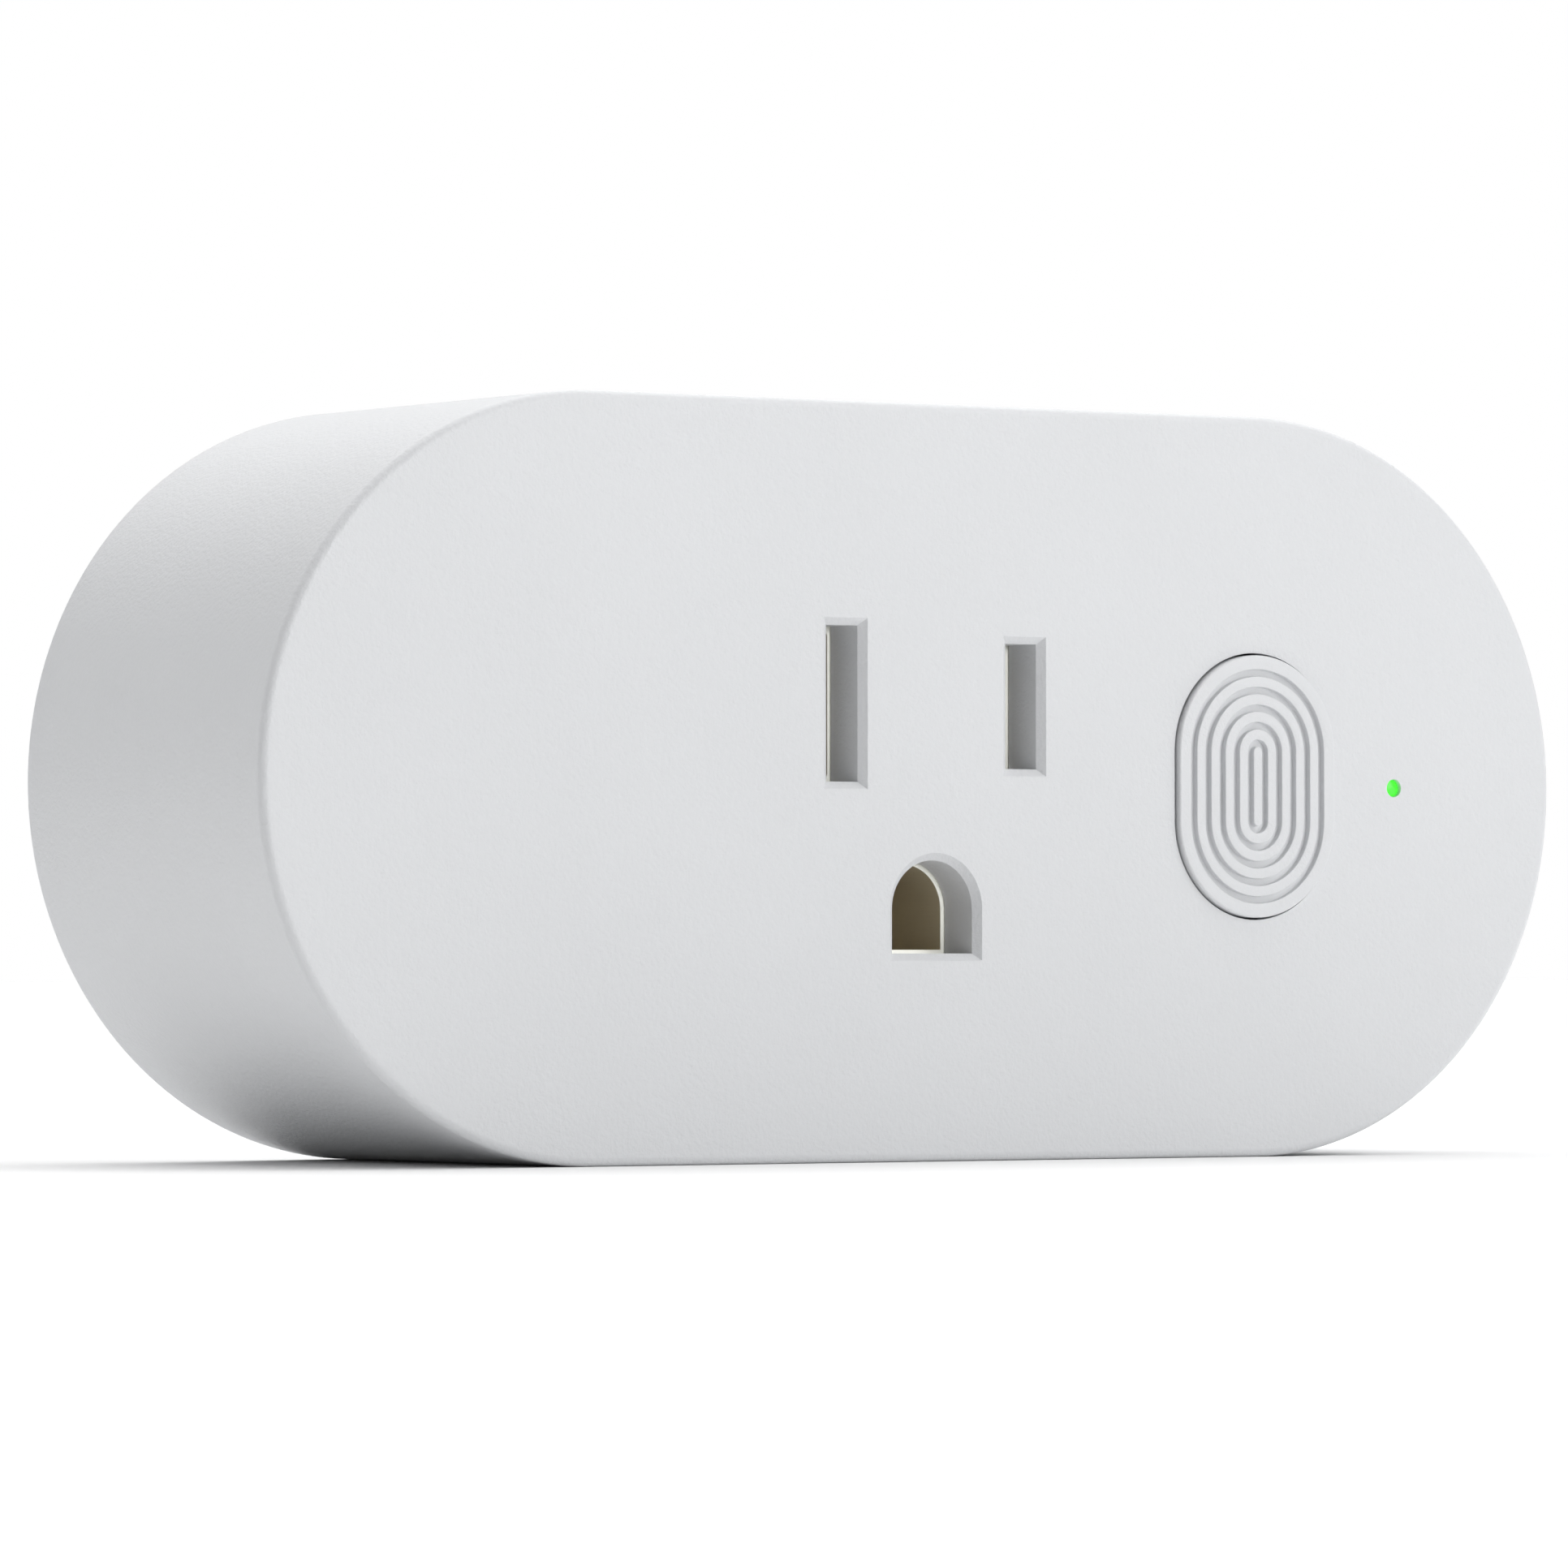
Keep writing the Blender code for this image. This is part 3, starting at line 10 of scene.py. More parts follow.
import bmesh
import bpy
from mathutils import Matrix, Vector

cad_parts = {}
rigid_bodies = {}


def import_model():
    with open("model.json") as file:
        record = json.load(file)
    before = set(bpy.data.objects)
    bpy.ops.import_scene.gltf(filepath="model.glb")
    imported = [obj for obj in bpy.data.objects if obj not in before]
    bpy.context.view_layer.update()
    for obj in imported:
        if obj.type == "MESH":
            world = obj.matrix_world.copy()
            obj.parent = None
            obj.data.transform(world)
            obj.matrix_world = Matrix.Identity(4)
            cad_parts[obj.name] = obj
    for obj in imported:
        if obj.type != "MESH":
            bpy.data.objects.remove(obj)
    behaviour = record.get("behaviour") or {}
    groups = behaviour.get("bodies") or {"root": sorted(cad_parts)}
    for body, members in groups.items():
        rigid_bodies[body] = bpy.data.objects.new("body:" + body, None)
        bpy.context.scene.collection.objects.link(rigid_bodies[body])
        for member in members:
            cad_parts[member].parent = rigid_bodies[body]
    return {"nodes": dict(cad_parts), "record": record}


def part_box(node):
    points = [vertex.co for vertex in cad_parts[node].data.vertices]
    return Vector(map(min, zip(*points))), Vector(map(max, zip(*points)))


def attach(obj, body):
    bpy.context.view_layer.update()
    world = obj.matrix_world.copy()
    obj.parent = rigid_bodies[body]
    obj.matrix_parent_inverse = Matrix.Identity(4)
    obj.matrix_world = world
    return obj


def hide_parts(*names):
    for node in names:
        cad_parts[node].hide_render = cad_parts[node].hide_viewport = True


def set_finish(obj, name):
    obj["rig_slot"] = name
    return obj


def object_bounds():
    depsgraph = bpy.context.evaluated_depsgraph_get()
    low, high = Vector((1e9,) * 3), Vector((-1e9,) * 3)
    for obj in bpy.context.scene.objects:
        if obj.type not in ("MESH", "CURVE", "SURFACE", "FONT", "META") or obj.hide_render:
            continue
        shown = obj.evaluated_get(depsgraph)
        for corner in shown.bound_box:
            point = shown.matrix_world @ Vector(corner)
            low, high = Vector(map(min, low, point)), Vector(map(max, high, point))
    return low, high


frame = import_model()
cad_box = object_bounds()

MM = 0.001
TOLERANCE = 0.0001 * MM  # points closer than this count as one

# Casing. Its length, height and depth come from the frame.
FRONT_FILLET = 0.53 * MM
REAR_FILLET = 0.4 * MM
SIDE_WALL = 2.2 * MM
FACE_WALL = 2.4 * MM
RIM_WALL = 1.4 * MM  # side wall around the rear cover
LEDGE_DEPTH = 2.7 * MM  # from the rear face to the ledge that the cover rests on
COVER_THICKNESS = 2.4 * MM
PAD_THICKNESS = 1.6 * MM
BOSS_RADIUS = 2.9 * MM
PILOT_RADIUS = 1.42 * MM
POST_RADIUS = 1.4 * MM
RIB_THICKNESS = 1.2 * MM
RIB_DEPTH = 8.3 * MM
RIB_MARGIN = 2.4 * MM  # from the contacts' carrier to each rib
OUTLET_CORNER = 1.5 * MM
COVER_GAP_CORNER = 0.2 * MM  # of the cover's openings around the blades
FIT = 0.12 * MM
SEAT_GAP = 0.3 * MM  # between a piece and what it rests on
BOARD_GAP = 0.5 * MM  # from a board's edge to its posts
BITE = 0.5 * MM  # how far joined shapes run into each other
PAST = 1.0 * MM  # how far a cutter runs past a surface

# Openings in the face.
SLOT_WIDTH = 2.21 * MM
NEUTRAL_SLOT_HEIGHT = 9.07 * MM
LINE_SLOT_HEIGHT = 7.34 * MM
GROUND_HOLE_RADIUS = 2.84 * MM
GROUND_HOLE_FLAT = 2.58 * MM  # from the arc's centre down to the flat
MOUTH_CHAMFER = 0.43 * MM
TUNNEL_DEPTH = 3.19 * MM
BUTTON_HOLE_WIDTH = 11.81 * MM
BUTTON_HOLE_HEIGHT = 15.92 * MM
LIGHT_HOLE_RADIUS = 0.54 * MM

# Button.
BUTTON_GAP = 0.13 * MM
BUTTON_FILLET = 0.14 * MM
BUTTON_LIP = 0.9 * MM
BUTTON_FLANGE = 1.0 * MM
BUTTON_WALL = 1.4 * MM
BUTTON_FACE = 1.7 * MM
BUTTON_MIDDLE = 0.15 * MM  # where the loft of the cap starts and ends
STEM_RADIUS = 1.5 * MM
STEM_CHAMFER = 0.2 * MM
GROOVE_COUNT = 5
GROOVE_PITCH = 1.049 * MM
GROOVE_WIDTH = 0.43 * MM
GROOVE_DEPTH = 0.33 * MM
FIRST_GROOVE_RADIUS = 0.52 * MM
GROOVE_LIP = 0.05 * MM  # rounding of each groove's edges

# Light pipe.
LIGHT_GAP = 0.05 * MM
LIGHT_DOME = 0.1 * MM
LIGHT_FLANGE = 0.8 * MM
LIGHT_ROD_RADIUS = 1.0 * MM
DOME_TURNS = range(5, 91, 17)  # degrees, from the middle of the tip to its rim

# Contacts and blades.
SLEEVE_INSET = 0.15 * MM
GROUND_SLEEVE_INSET = 0.22 * MM
SLEEVE_WALL = 0.45 * MM
SLEEVE_CORNER = 0.45 * MM
SLEEVE_LENGTH = 3.0 * MM
GROUND_SLEEVE_LENGTH = 6.0 * MM
SLEEVE_LIP = 0.03 * MM  # bevel of each sleeve's front edge
LEAF_THICKNESS = 0.35 * MM
LEAF_HEIGHT = 4.8 * MM
LEAF_SPREAD = 0.5 * MM
LEAF_PINCH = 0.3 * MM
PINCH_SHARE = 0.9  # of a leaf's length
LEAF_STEPS = 12
LEAF_HOOK = 1.4 * MM  # from a leaf's end to the bridge behind it
GROUND_LEAF_SHARE = 0.75  # its height beside the other contacts' leaves
TAIL_THICKNESS = 0.6 * MM
TAIL_WIDTH = 3.0 * MM
CONTACT_LENGTH = 12.0 * MM
BLADE_THICKNESS = 1.5 * MM
BLADE_EDGE = 0.25 * MM
BLADE_TIP = 1.6 * MM
FLANGE_THICKNESS = 1.2 * MM
FLANGE_LIP = 1.0 * MM
PIN_RADIUS = 2.4 * MM

# Screws.
HEAD_RADIUS = 2.4 * MM
HEAD_HEIGHT = 1.25 * MM
SHANK_RADIUS = 1.3 * MM
CROWN_SHARE = 0.55  # the domed part of the head's height
DRIVER_REACH = 1.45 * MM  # of the driver's cross, from the axis
DRIVER_FOOT = 1.1 * MM  # its reach at the bottom
DRIVER_WIDTH = 0.62 * MM
DRIVER_DEPTH = 1.0 * MM
POINT_RADIUS = 0.25 * MM
POINT_LENGTH = 0.8 * MM
THREAD_PITCH = 0.8 * MM
THREAD_DEPTH = 0.14 * MM
THREAD_SHARES = (0.15, 0.45, 0.6, 0.9)  # of the pitch: flank, crest, end of crest, end of flank

QUARTER_STEPS = 24  # facets in a quarter turn
CASING_STEPS = 48
POST_STEPS = 32  # facets around a post or a boss
HOLE_STEPS = 48
PIN_TIP_STEPS = 15
FRONT_FILLET_STEPS = 10
REAR_FILLET_STEPS = 5
BUTTON_FILLET_STEPS = 6
GROOVE_LIP_STEPS = 3
SMOOTH_ANGLE = math.radians(32)  # faces that meet at less than this look like one surface
RIM_ANGLE = 1  # radian; a prism's rim turns by more

# Finishes.
SHELL_COLOUR = (0.685, 0.694, 0.709)
GRAIN = 0.28 * MM
GRAIN_DEPTH = 0.055 * MM
BRUSH_LINE = 0.09 * MM
BRUSH_STRETCH = 0.06
BRUSH_DEPTH = 0.004 * MM
PAINTED_HIGHLIGHT_EDGE = 0.03 * MM  # how far back the painted highlight on the contacts' front edge goes
PAINTED_HIGHLIGHT_FADE = 0.1 * MM  # where that painted highlight has faded into the brass
WAVE_BAND = 0.32  # width of one band of a Wave texture at scale 1

# Camera and light.
CAMERA_PLACE = (-0.30472, -0.46424, -0.01075)
CAMERA_TURN = (math.radians(91.146), math.radians(0.046), math.radians(-33.902))
LENS_MM = 210.17
SENSOR_MM = 36.0
FLOOR_SIDE = 12.0
SURROUND = 0.04  # brightness of the room, as the object sees it
# Each distant lamp's place in the sky, width in degrees and strength.
SKY_LAMPS = {
    "overhead": ((0.21, 0.36, 1.0), 90, 3.2),
    "rear_left": ((-1.0, 0.7, 0.42), 60, 0.68),
    "front_right": ((0.4, -1.0, 0.2), 30, 0.88),
}
GLINT = ((-0.05, -1.0, 0.1), 10, 1.25)  # the same values for the lamp that lights only the three contacts
SOFTBOX_PLACE = (0.26, -0.33, 0.3)
SOFTBOX_SIZE = (0.3, 0.2)
SOFTBOX_WATTS = 0.79


# Outlines, as lists of points in a plane, counter-clockwise.


def arc(centre, radius, start, end, steps):
    """Points from start to end degrees, both included."""
    turns = [math.radians(start + (end - start) * i / steps) for i in range(steps + 1)]
    return [(centre[0] + radius * math.cos(t), centre[1] + radius * math.sin(t)) for t in turns]


def circle(radius, centre=(0, 0), steps=4 * QUARTER_STEPS):
    return arc(centre, radius, 0, 360 - 360 / steps, steps - 1)


def rounded(width, height, radius, centre=(0, 0), steps=QUARTER_STEPS):
    """A rectangle with round corners; equal steps give equal numbers of points, whatever the size."""
    across, up = width / 2 - radius, height / 2 - radius
    points = []
    for sign_x, sign_z, start in ((1, 1, 0), (-1, 1, 90), (-1, -1, 180), (1, -1, 270)):
        corner = (centre[0] + sign_x * across, centre[1] + sign_z * up)
        points += arc(corner, radius, start, start + 90, steps)
    return points


def distinct(points):
    """The outline without points that repeat the one before."""
    apart = [math.dist(point, points[i - 1]) > TOLERANCE for i, point in enumerate(points)]
    return [point for point, keep in zip(points, apart) if keep]


def squashed_quarter(rise, reach, steps=12):
    """A quarter of an ellipse, as (rise, reach) points from its rim to near its crown."""
    turns = [math.radians(90 * i / steps) for i in range(steps)]
    return [(rise * math.sin(t), reach * math.cos(t)) for t in turns]


def rectangle(width, height, centre=(0, 0)):
    x, z = centre
    w, h = width / 2, height / 2
    return [(x + w, z + h), (x - w, z + h), (x - w, z - h), (x + w, z - h)]


def cross(reach, half, centre):
    """A plus sign, from its reach and half of each arm's width."""
    quarter = [(reach, -half), (reach, half), (half, half)]
    points = []
    for _ in range(4):
        points += quarter
        quarter = [(-b, a) for a, b in quarter]
    return [(centre[0] + a, centre[1] + b) for a, b in points]


def arched(radius, flat, centre=(0, 0)):
    """Round above and square below, with its flat that far under the arc's centre."""
    x, z = centre
    return arc(centre, radius, 0, 180, 2 * QUARTER_STEPS) + [(x - radius, z - flat), (x + radius, z - flat)]


def strip(path, thickness):
    """The outline of a sheet-metal strip bent along a path."""
    ways = [(Vector(b) - Vector(a)).normalized() for a, b in zip(path, path[1:])]
    ways = [ways[0]] + ways + [ways[-1]]
    sides = ([], [])
    for point, before, after in zip(path, ways, ways[1:]):
        way = (before + after).normalized()
        reach = thickness / 2 / way.dot(before)
        for side, sign in zip(sides, (1, -1)):
            side.append((point[0] - sign * reach * way.y, point[1] + sign * reach * way.x))
    return sides[0] + sides[1][::-1]


# Shapes, as bmeshes in the frame's own place.


def prism(outline, axis, low, high):
    """A flat outline given thickness from low to high along the axis."""
    place = {
        "X": lambda a, b, t: (t, a, b),
        "Y": lambda a, b, t: (a, t, b),
        "Z": lambda a, b, t: (a, b, t),
    }[axis]
    shape = bmesh.new()
    ends = [[shape.verts.new(place(a, b, t)) for a, b in outline] for t in (low, high)]
    for end in ends:
        shape.faces.new(end)
    for i in range(len(outline)):
        shape.faces.new((ends[0][i - 1], ends[0][i], ends[1][i], ends[1][i - 1]))
    bmesh.ops.recalc_face_normals(shape, faces=shape.faces)
    return shape


def loft(rings, closed=False):
    """Rings of equally many points, each joined to the next; the ends are filled unless they meet."""
    shape = bmesh.new()
    rows = [[shape.verts.new(point) for point in ring] for ring in rings]
    pairs = list(zip(rows, rows[1:]))
    if closed:
        pairs.append((rows[-1], rows[0]))
    else:
        shape.faces.new(rows[0])
        shape.faces.new(rows[-1])
    for row, after in pairs:
        for i in range(len(row)):
            shape.faces.new((row[i - 1], row[i], after[i], after[i - 1]))
    bmesh.ops.recalc_face_normals(shape, faces=shape.faces)
    return shape


def lathe(profile, centre, steps=3 * QUARTER_STEPS):
    """A profile of (radius, y) turned about the line along Y through centre."""
    x, z = centre
    return loft([[(a, y, b) for a, b in circle(radius, (x, z), steps)] for radius, y in profile])


def merge(shape, *others):
    """Adds other shapes to this one, each left as its own closed surface."""
    for other in others:
        held = bpy.data.meshes.new("held")
        other.to_mesh(held)
        other.free()
        shape.from_mesh(held)
        bpy.data.meshes.remove(held)
    return shape


def round_rim(shape, y, width, segments):
    """Rounds the outer rim of a prism's end at y."""
    rim = [
        edge
        for edge in shape.edges
        if all(abs(v.co.y - y) < TOLERANCE for v in edge.verts) and edge.calc_face_angle() > RIM_ANGLE
    ]
    bmesh.ops.bevel(shape, geom=rim, offset=width, segments=segments, profile=0.5, affect="EDGES")
    return shape


def to_object(name, shape):
    mesh = bpy.data.meshes.new(name)
    shape.to_mesh(mesh)
    shape.free()
    thing = bpy.data.objects.new(name, mesh)
    bpy.context.scene.collection.objects.link(thing)
    return thing


def carve(thing, steps):
    """Joins and cuts in turn, as (operation, shape) pairs, then leaves plain mesh."""
    helpers = []
    for operation, shape in steps:
        helper = to_object("helper", shape)
        step = thing.modifiers.new("step", "BOOLEAN")
        step.operation = operation
        step.solver = "EXACT"
        step.object = helper
        helpers.append(helper)
    graph = bpy.context.evaluated_depsgraph_get()
    made = bpy.data.meshes.new_from_object(thing.evaluated_get(graph))
    thing.modifiers.clear()
    old = thing.data
    thing.data = made
    made.name = thing.name
    bpy.data.meshes.remove(old)
    for helper in helpers:
        bpy.data.objects.remove(helper)
    return thing


def settle(thing, body, slot, *nodes):
    """Smooths a finished piece, has it ride on its body and stand for its nodes."""
    thing.data.shade_smooth()
    thing.data.set_sharp_from_angle(angle=SMOOTH_ANGLE)
    weighted = thing.modifiers.new("weighted", "WEIGHTED_NORMAL")
    weighted.keep_sharp = True
    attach(thing, body)
    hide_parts(*nodes)
    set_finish(thing, slot)
    return thing


# Places, from the frame.


def middle(node):
    """The centre of a node's box across the face, as (x, z)."""
    low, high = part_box(node)
    return ((low[0] + high[0]) / 2, (low[2] + high[2]) / 2)


def low_high(node, axis):
    low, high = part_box(node)
    return low[axis], high[axis]


FRONT_Y, REAR_Y = low_high("front_shell", 1)
LEFT_X, RIGHT_X = low_high("front_shell", 0)
BOTTOM_Z, TOP_Z = low_high("front_shell", 2)
LENGTH, HEIGHT = RIGHT_X - LEFT_X, TOP_Z - BOTTOM_Z
BUTTON_PLACE = middle("button_cap")
LIGHT_PLACE = middle("light_pipe")
NEUTRAL_PLACE = middle("neutral_contact")
LINE_PLACE = middle("line_contact")
GROUND_PLACE = middle("ground_pin")
SCREWS = [f"screw_{up}_{side}" for up in ("upper", "lower") for side in ("left", "right")]
FACE_REAR_Y = FRONT_Y + FACE_WALL
OUTLET_REAR_Y = FRONT_Y + TUNNEL_DEPTH


def posts(board, *more):
    """Where posts hold a board: at its round end, and by the corners of its straight edge where asked."""
    (left, right), (bottom, top) = low_high(board, 0), low_high(board, 2)
    inset = BOARD_GAP + POST_RADIUS
    side = 1 if right > -left else -1
    edge, end = (left, right) if side > 0 else (right, left)
    corners = {"upper": (edge + side * inset, top - inset), "lower": (edge + side * inset, bottom + inset)}
    return [(end - side * inset, 0)] + [corners[name] for name in more]


def pill(inset, steps=CASING_STEPS):
    """The casing's outline, drawn in from its outer side."""
    height = HEIGHT - 2 * inset
    return distinct(rounded(LENGTH - 2 * inset, height, height / 2, steps=steps))


def outlet_block():
    """The outline around the outlet's openings, as wide and high as the contacts' carrier."""
    (left, right), (bottom, top) = low_high("contact_carrier", 0), low_high("contact_carrier", 2)
    return rounded(right - left, top - bottom, OUTLET_CORNER, middle("contact_carrier"), steps=8)


# Casing.


def mouth(outline):
    """A cutter whose rim leaves a 45 degree chamfer around an opening of the face."""
    rim = MOUTH_CHAMFER + FIT
    shape = prism(outline, "Y", FRONT_Y - PAST, FRONT_Y + rim)
    return round_rim(shape, FRONT_Y + rim, rim, 1)


def outlet_cutters():
    wide = 2 * MOUTH_CHAMFER
    shapes = []
    for place, height in ((NEUTRAL_PLACE, NEUTRAL_SLOT_HEIGHT), (LINE_PLACE, LINE_SLOT_HEIGHT)):
        slot = rectangle(SLOT_WIDTH, height, place)
        shapes.append(prism(slot, "Y", FRONT_Y - PAST, OUTLET_REAR_Y + PAST))
        shapes.append(mouth(rectangle(SLOT_WIDTH + wide, height + wide, place)))
    hole = arched(GROUND_HOLE_RADIUS, GROUND_HOLE_FLAT, GROUND_PLACE)
    shapes.append(prism(hole, "Y", FRONT_Y - PAST, OUTLET_REAR_Y + PAST))
    rim = arched(GROUND_HOLE_RADIUS + MOUTH_CHAMFER, GROUND_HOLE_FLAT + MOUTH_CHAMFER, GROUND_PLACE)
    shapes.append(mouth(rim))
    return shapes


def make_casing():
    """The one-piece front and sides, with the bosses and ribs inside it."""
    shell = round_rim(prism(pill(0), "Y", FRONT_Y, REAR_Y), FRONT_Y, FRONT_FILLET, FRONT_FILLET_STEPS)
    casing = to_object("casing", round_rim(shell, REAR_Y, REAR_FILLET, REAR_FILLET_STEPS))
    ledge = REAR_Y - LEDGE_DEPTH
    steps = [("DIFFERENCE", prism(pill(SIDE_WALL), "Y", FACE_REAR_Y, REAR_Y + PAST))]
    rooted = FACE_REAR_Y - BITE
    for screw in SCREWS:
        boss = circle(BOSS_RADIUS, middle(screw), POST_STEPS)
        steps.append(("UNION", prism(boss, "Y", rooted, ledge + BITE)))
    board_y = low_high("control_board", 1)[0]
    for place in posts("control_board", "lower"):
        post = circle(POST_RADIUS, place, POST_STEPS)
        steps.append(("UNION", prism(post, "Y", rooted, board_y - SEAT_GAP)))
    rib_x = low_high("contact_carrier", 0)[1] + RIB_MARGIN
    for x in (-rib_x, rib_x):
        rib = rectangle(RIB_THICKNESS, HEIGHT - 2 * SIDE_WALL + 2 * BITE, (x, 0))
        steps.append(("UNION", prism(rib, "Y", rooted, FACE_REAR_Y + RIB_DEPTH)))
    steps.append(("UNION", prism(outlet_block(), "Y", rooted, OUTLET_REAR_Y)))
    steps.append(("DIFFERENCE", prism(pill(RIM_WALL), "Y", ledge, REAR_Y + PAST)))
    for screw in SCREWS:
        pilot = circle(PILOT_RADIUS, middle(screw), POST_STEPS)
        steps.append(("DIFFERENCE", prism(pilot, "Y", low_high(screw, 1)[0] - BITE, REAR_Y + PAST)))
    steps += [("DIFFERENCE", shape) for shape in outlet_cutters()]
    button = distinct(rounded(BUTTON_HOLE_WIDTH, BUTTON_HOLE_HEIGHT, BUTTON_HOLE_WIDTH / 2, BUTTON_PLACE))
    for hole in (button, circle(LIGHT_HOLE_RADIUS, LIGHT_PLACE, HOLE_STEPS)):
        steps.append(("DIFFERENCE", prism(hole, "Y", FRONT_Y - PAST, FACE_REAR_Y + PAST)))
    return settle(carve(casing, steps), "casing", "casing_plastic", "front_shell")


def make_cover():
    """The rear cover, sunk around its screws and open around the blades."""
    front_y = REAR_Y - COVER_THICKNESS
    plate = prism(pill(RIM_WALL + FIT), "Y", front_y, REAR_Y)
    cover = to_object("cover", round_rim(plate, REAR_Y, REAR_FILLET, REAR_FILLET_STEPS))
    pad_y = front_y - PAD_THICKNESS
    steps = [("UNION", prism(outlet_block(), "Y", pad_y, front_y + BITE))]
    stands = [("power_board", place) for place in posts("power_board", "upper", "lower")]
    stands += [("control_board", place) for place in posts("control_board", "lower")]
    (left, right), bottom = low_high("contact_carrier", 0), low_high("contact_carrier", 2)[0]
    left, right = left + POST_RADIUS / 2, right - POST_RADIUS / 2
    strap_z = low_high("line_strap", 2)[1] - TAIL_WIDTH / 2
    stands += [("carrier_cap", place) for place in ((left, bottom), (right, bottom), (right, strap_z))]
    for node, place in stands:
        post = circle(POST_RADIUS, place, POST_STEPS)
        steps.append(("UNION", prism(post, "Y", low_high(node, 1)[1] + SEAT_GAP, front_y + BITE)))
    for blade in ("neutral_blade", "line_blade"):
        (left, right), (bottom, top) = low_high(blade, 0), low_high(blade, 2)
        width = right - left - 2 * FLANGE_LIP + 2 * FIT
        height = top - bottom - FLANGE_LIP + 2 * FIT
        gap = rounded(width, height, COVER_GAP_CORNER, middle(blade), steps=4)
        steps.append(("DIFFERENCE", prism(gap, "Y", pad_y - PAST, REAR_Y + PAST)))
    openings = [(GROUND_PLACE, PIN_RADIUS + FIT, pad_y - PAST)]
    for screw in SCREWS:
        seat = low_high(screw, 1)[1] - HEAD_HEIGHT - FIT
        openings.append((middle(screw), PILOT_RADIUS, pad_y - PAST))
        openings.append((middle(screw), HEAD_RADIUS + FIT, seat))
    for place, radius, deep in openings:
        hole = circle(radius, place, HOLE_STEPS)
        steps.append(("DIFFERENCE", prism(hole, "Y", deep, REAR_Y + PAST)))
    return settle(carve(cover, steps), "casing", "casing_plastic", "rear_cover")


def make_screw(node):
    """A pan-headed screw with a tapered cross for the driver and a rolled thread."""
    place = middle(node)
    end, top = low_high(node, 1)
    seat = top - HEAD_HEIGHT
    crown_y = seat + (1 - CROWN_SHARE) * HEAD_HEIGHT
    crown = [(b, crown_y + a) for a, b in squashed_quarter(CROWN_SHARE * HEAD_HEIGHT, HEAD_RADIUS)]
    core = SHANK_RADIUS - THREAD_DEPTH
    profile = [(POINT_RADIUS, end), (core, end + POINT_LENGTH)]
    for i in range(int((seat - end - 2 * POINT_LENGTH) / THREAD_PITCH)):
        base = end + POINT_LENGTH + i * THREAD_PITCH
        for radius, share in zip((core, SHANK_RADIUS, SHANK_RADIUS, core), THREAD_SHARES):
            profile.append((radius, base + share * THREAD_PITCH))
    profile += [(core, seat), (HEAD_RADIUS, seat)] + crown
    screw = to_object(node + "_fine", lathe(profile, place))
    rings = []
    for y, reach in ((top - DRIVER_DEPTH, DRIVER_FOOT), (top, DRIVER_REACH), (top + PAST, DRIVER_REACH)):
        rings.append([(a, y, b) for a, b in cross(reach, DRIVER_WIDTH / 2, place)])
    return settle(carve(screw, [("DIFFERENCE", loft(rings))]), "casing", "steel", node)


# Button and light.


def make_button():
    """The cap as one loft, from the middle of its ringed face out and round to its hollow."""
    top_y, stem_y = low_high("button_cap", 1)
    straight = BUTTON_HOLE_HEIGHT - BUTTON_HOLE_WIDTH
    edge = BUTTON_HOLE_WIDTH / 2 - BUTTON_GAP
    profile = [(BUTTON_MIDDLE, top_y)]
    for i in range(GROOVE_COUNT):
        inner = FIRST_GROOVE_RADIUS + i * GROOVE_PITCH - GROOVE_WIDTH / 2
        outer, floor_y = inner + GROOVE_WIDTH, top_y + GROOVE_DEPTH
        lip = GROOVE_LIP
        profile += [(r, -y) for r, y in arc((inner - lip, -top_y - lip), lip, 90, 0, GROOVE_LIP_STEPS)]
        profile += [(inner, floor_y - lip / 2), (inner + lip / 2, floor_y)]
        profile += [(outer - lip / 2, floor_y), (outer, floor_y - lip / 2)]
        profile += [(r, -y) for r, y in arc((outer + lip, -top_y - lip), lip, 180, 90, GROOVE_LIP_STEPS)]
    fillet = BUTTON_FILLET
    rim = arc((edge - fillet, -top_y - fillet), fillet, 90, 0, BUTTON_FILLET_STEPS)
    profile += [(r, -y) for r, y in rim]
    flange_y = FACE_REAR_Y + SEAT_GAP
    flange_end = flange_y + BUTTON_FLANGE
    hollow = edge - BUTTON_WALL
    lip = BUTTON_HOLE_WIDTH / 2 + BUTTON_LIP
    profile += [(edge, flange_y), (lip, flange_y), (lip, flange_end), (hollow, flange_end)]
    profile += [(hollow, top_y + BUTTON_FACE), (BUTTON_MIDDLE, top_y + BUTTON_FACE)]
    rings = []
    for radius, y in profile:
        outline = rounded(2 * radius, 2 * radius + straight, radius, BUTTON_PLACE)
        rings.append([(a, y, b) for a, b in outline])
    cap = loft(rings)
    bmesh.ops.remove_doubles(cap, verts=cap.verts, dist=TOLERANCE)
    stem = [(STEM_RADIUS, top_y + BUTTON_FACE - BITE), (STEM_RADIUS, stem_y - STEM_CHAMFER)]
    stem.append((STEM_RADIUS - STEM_CHAMFER, stem_y))
    button = to_object("button", merge(cap, lathe(stem, BUTTON_PLACE)))
    return settle(button, "button", "button_plastic", "button_cap")


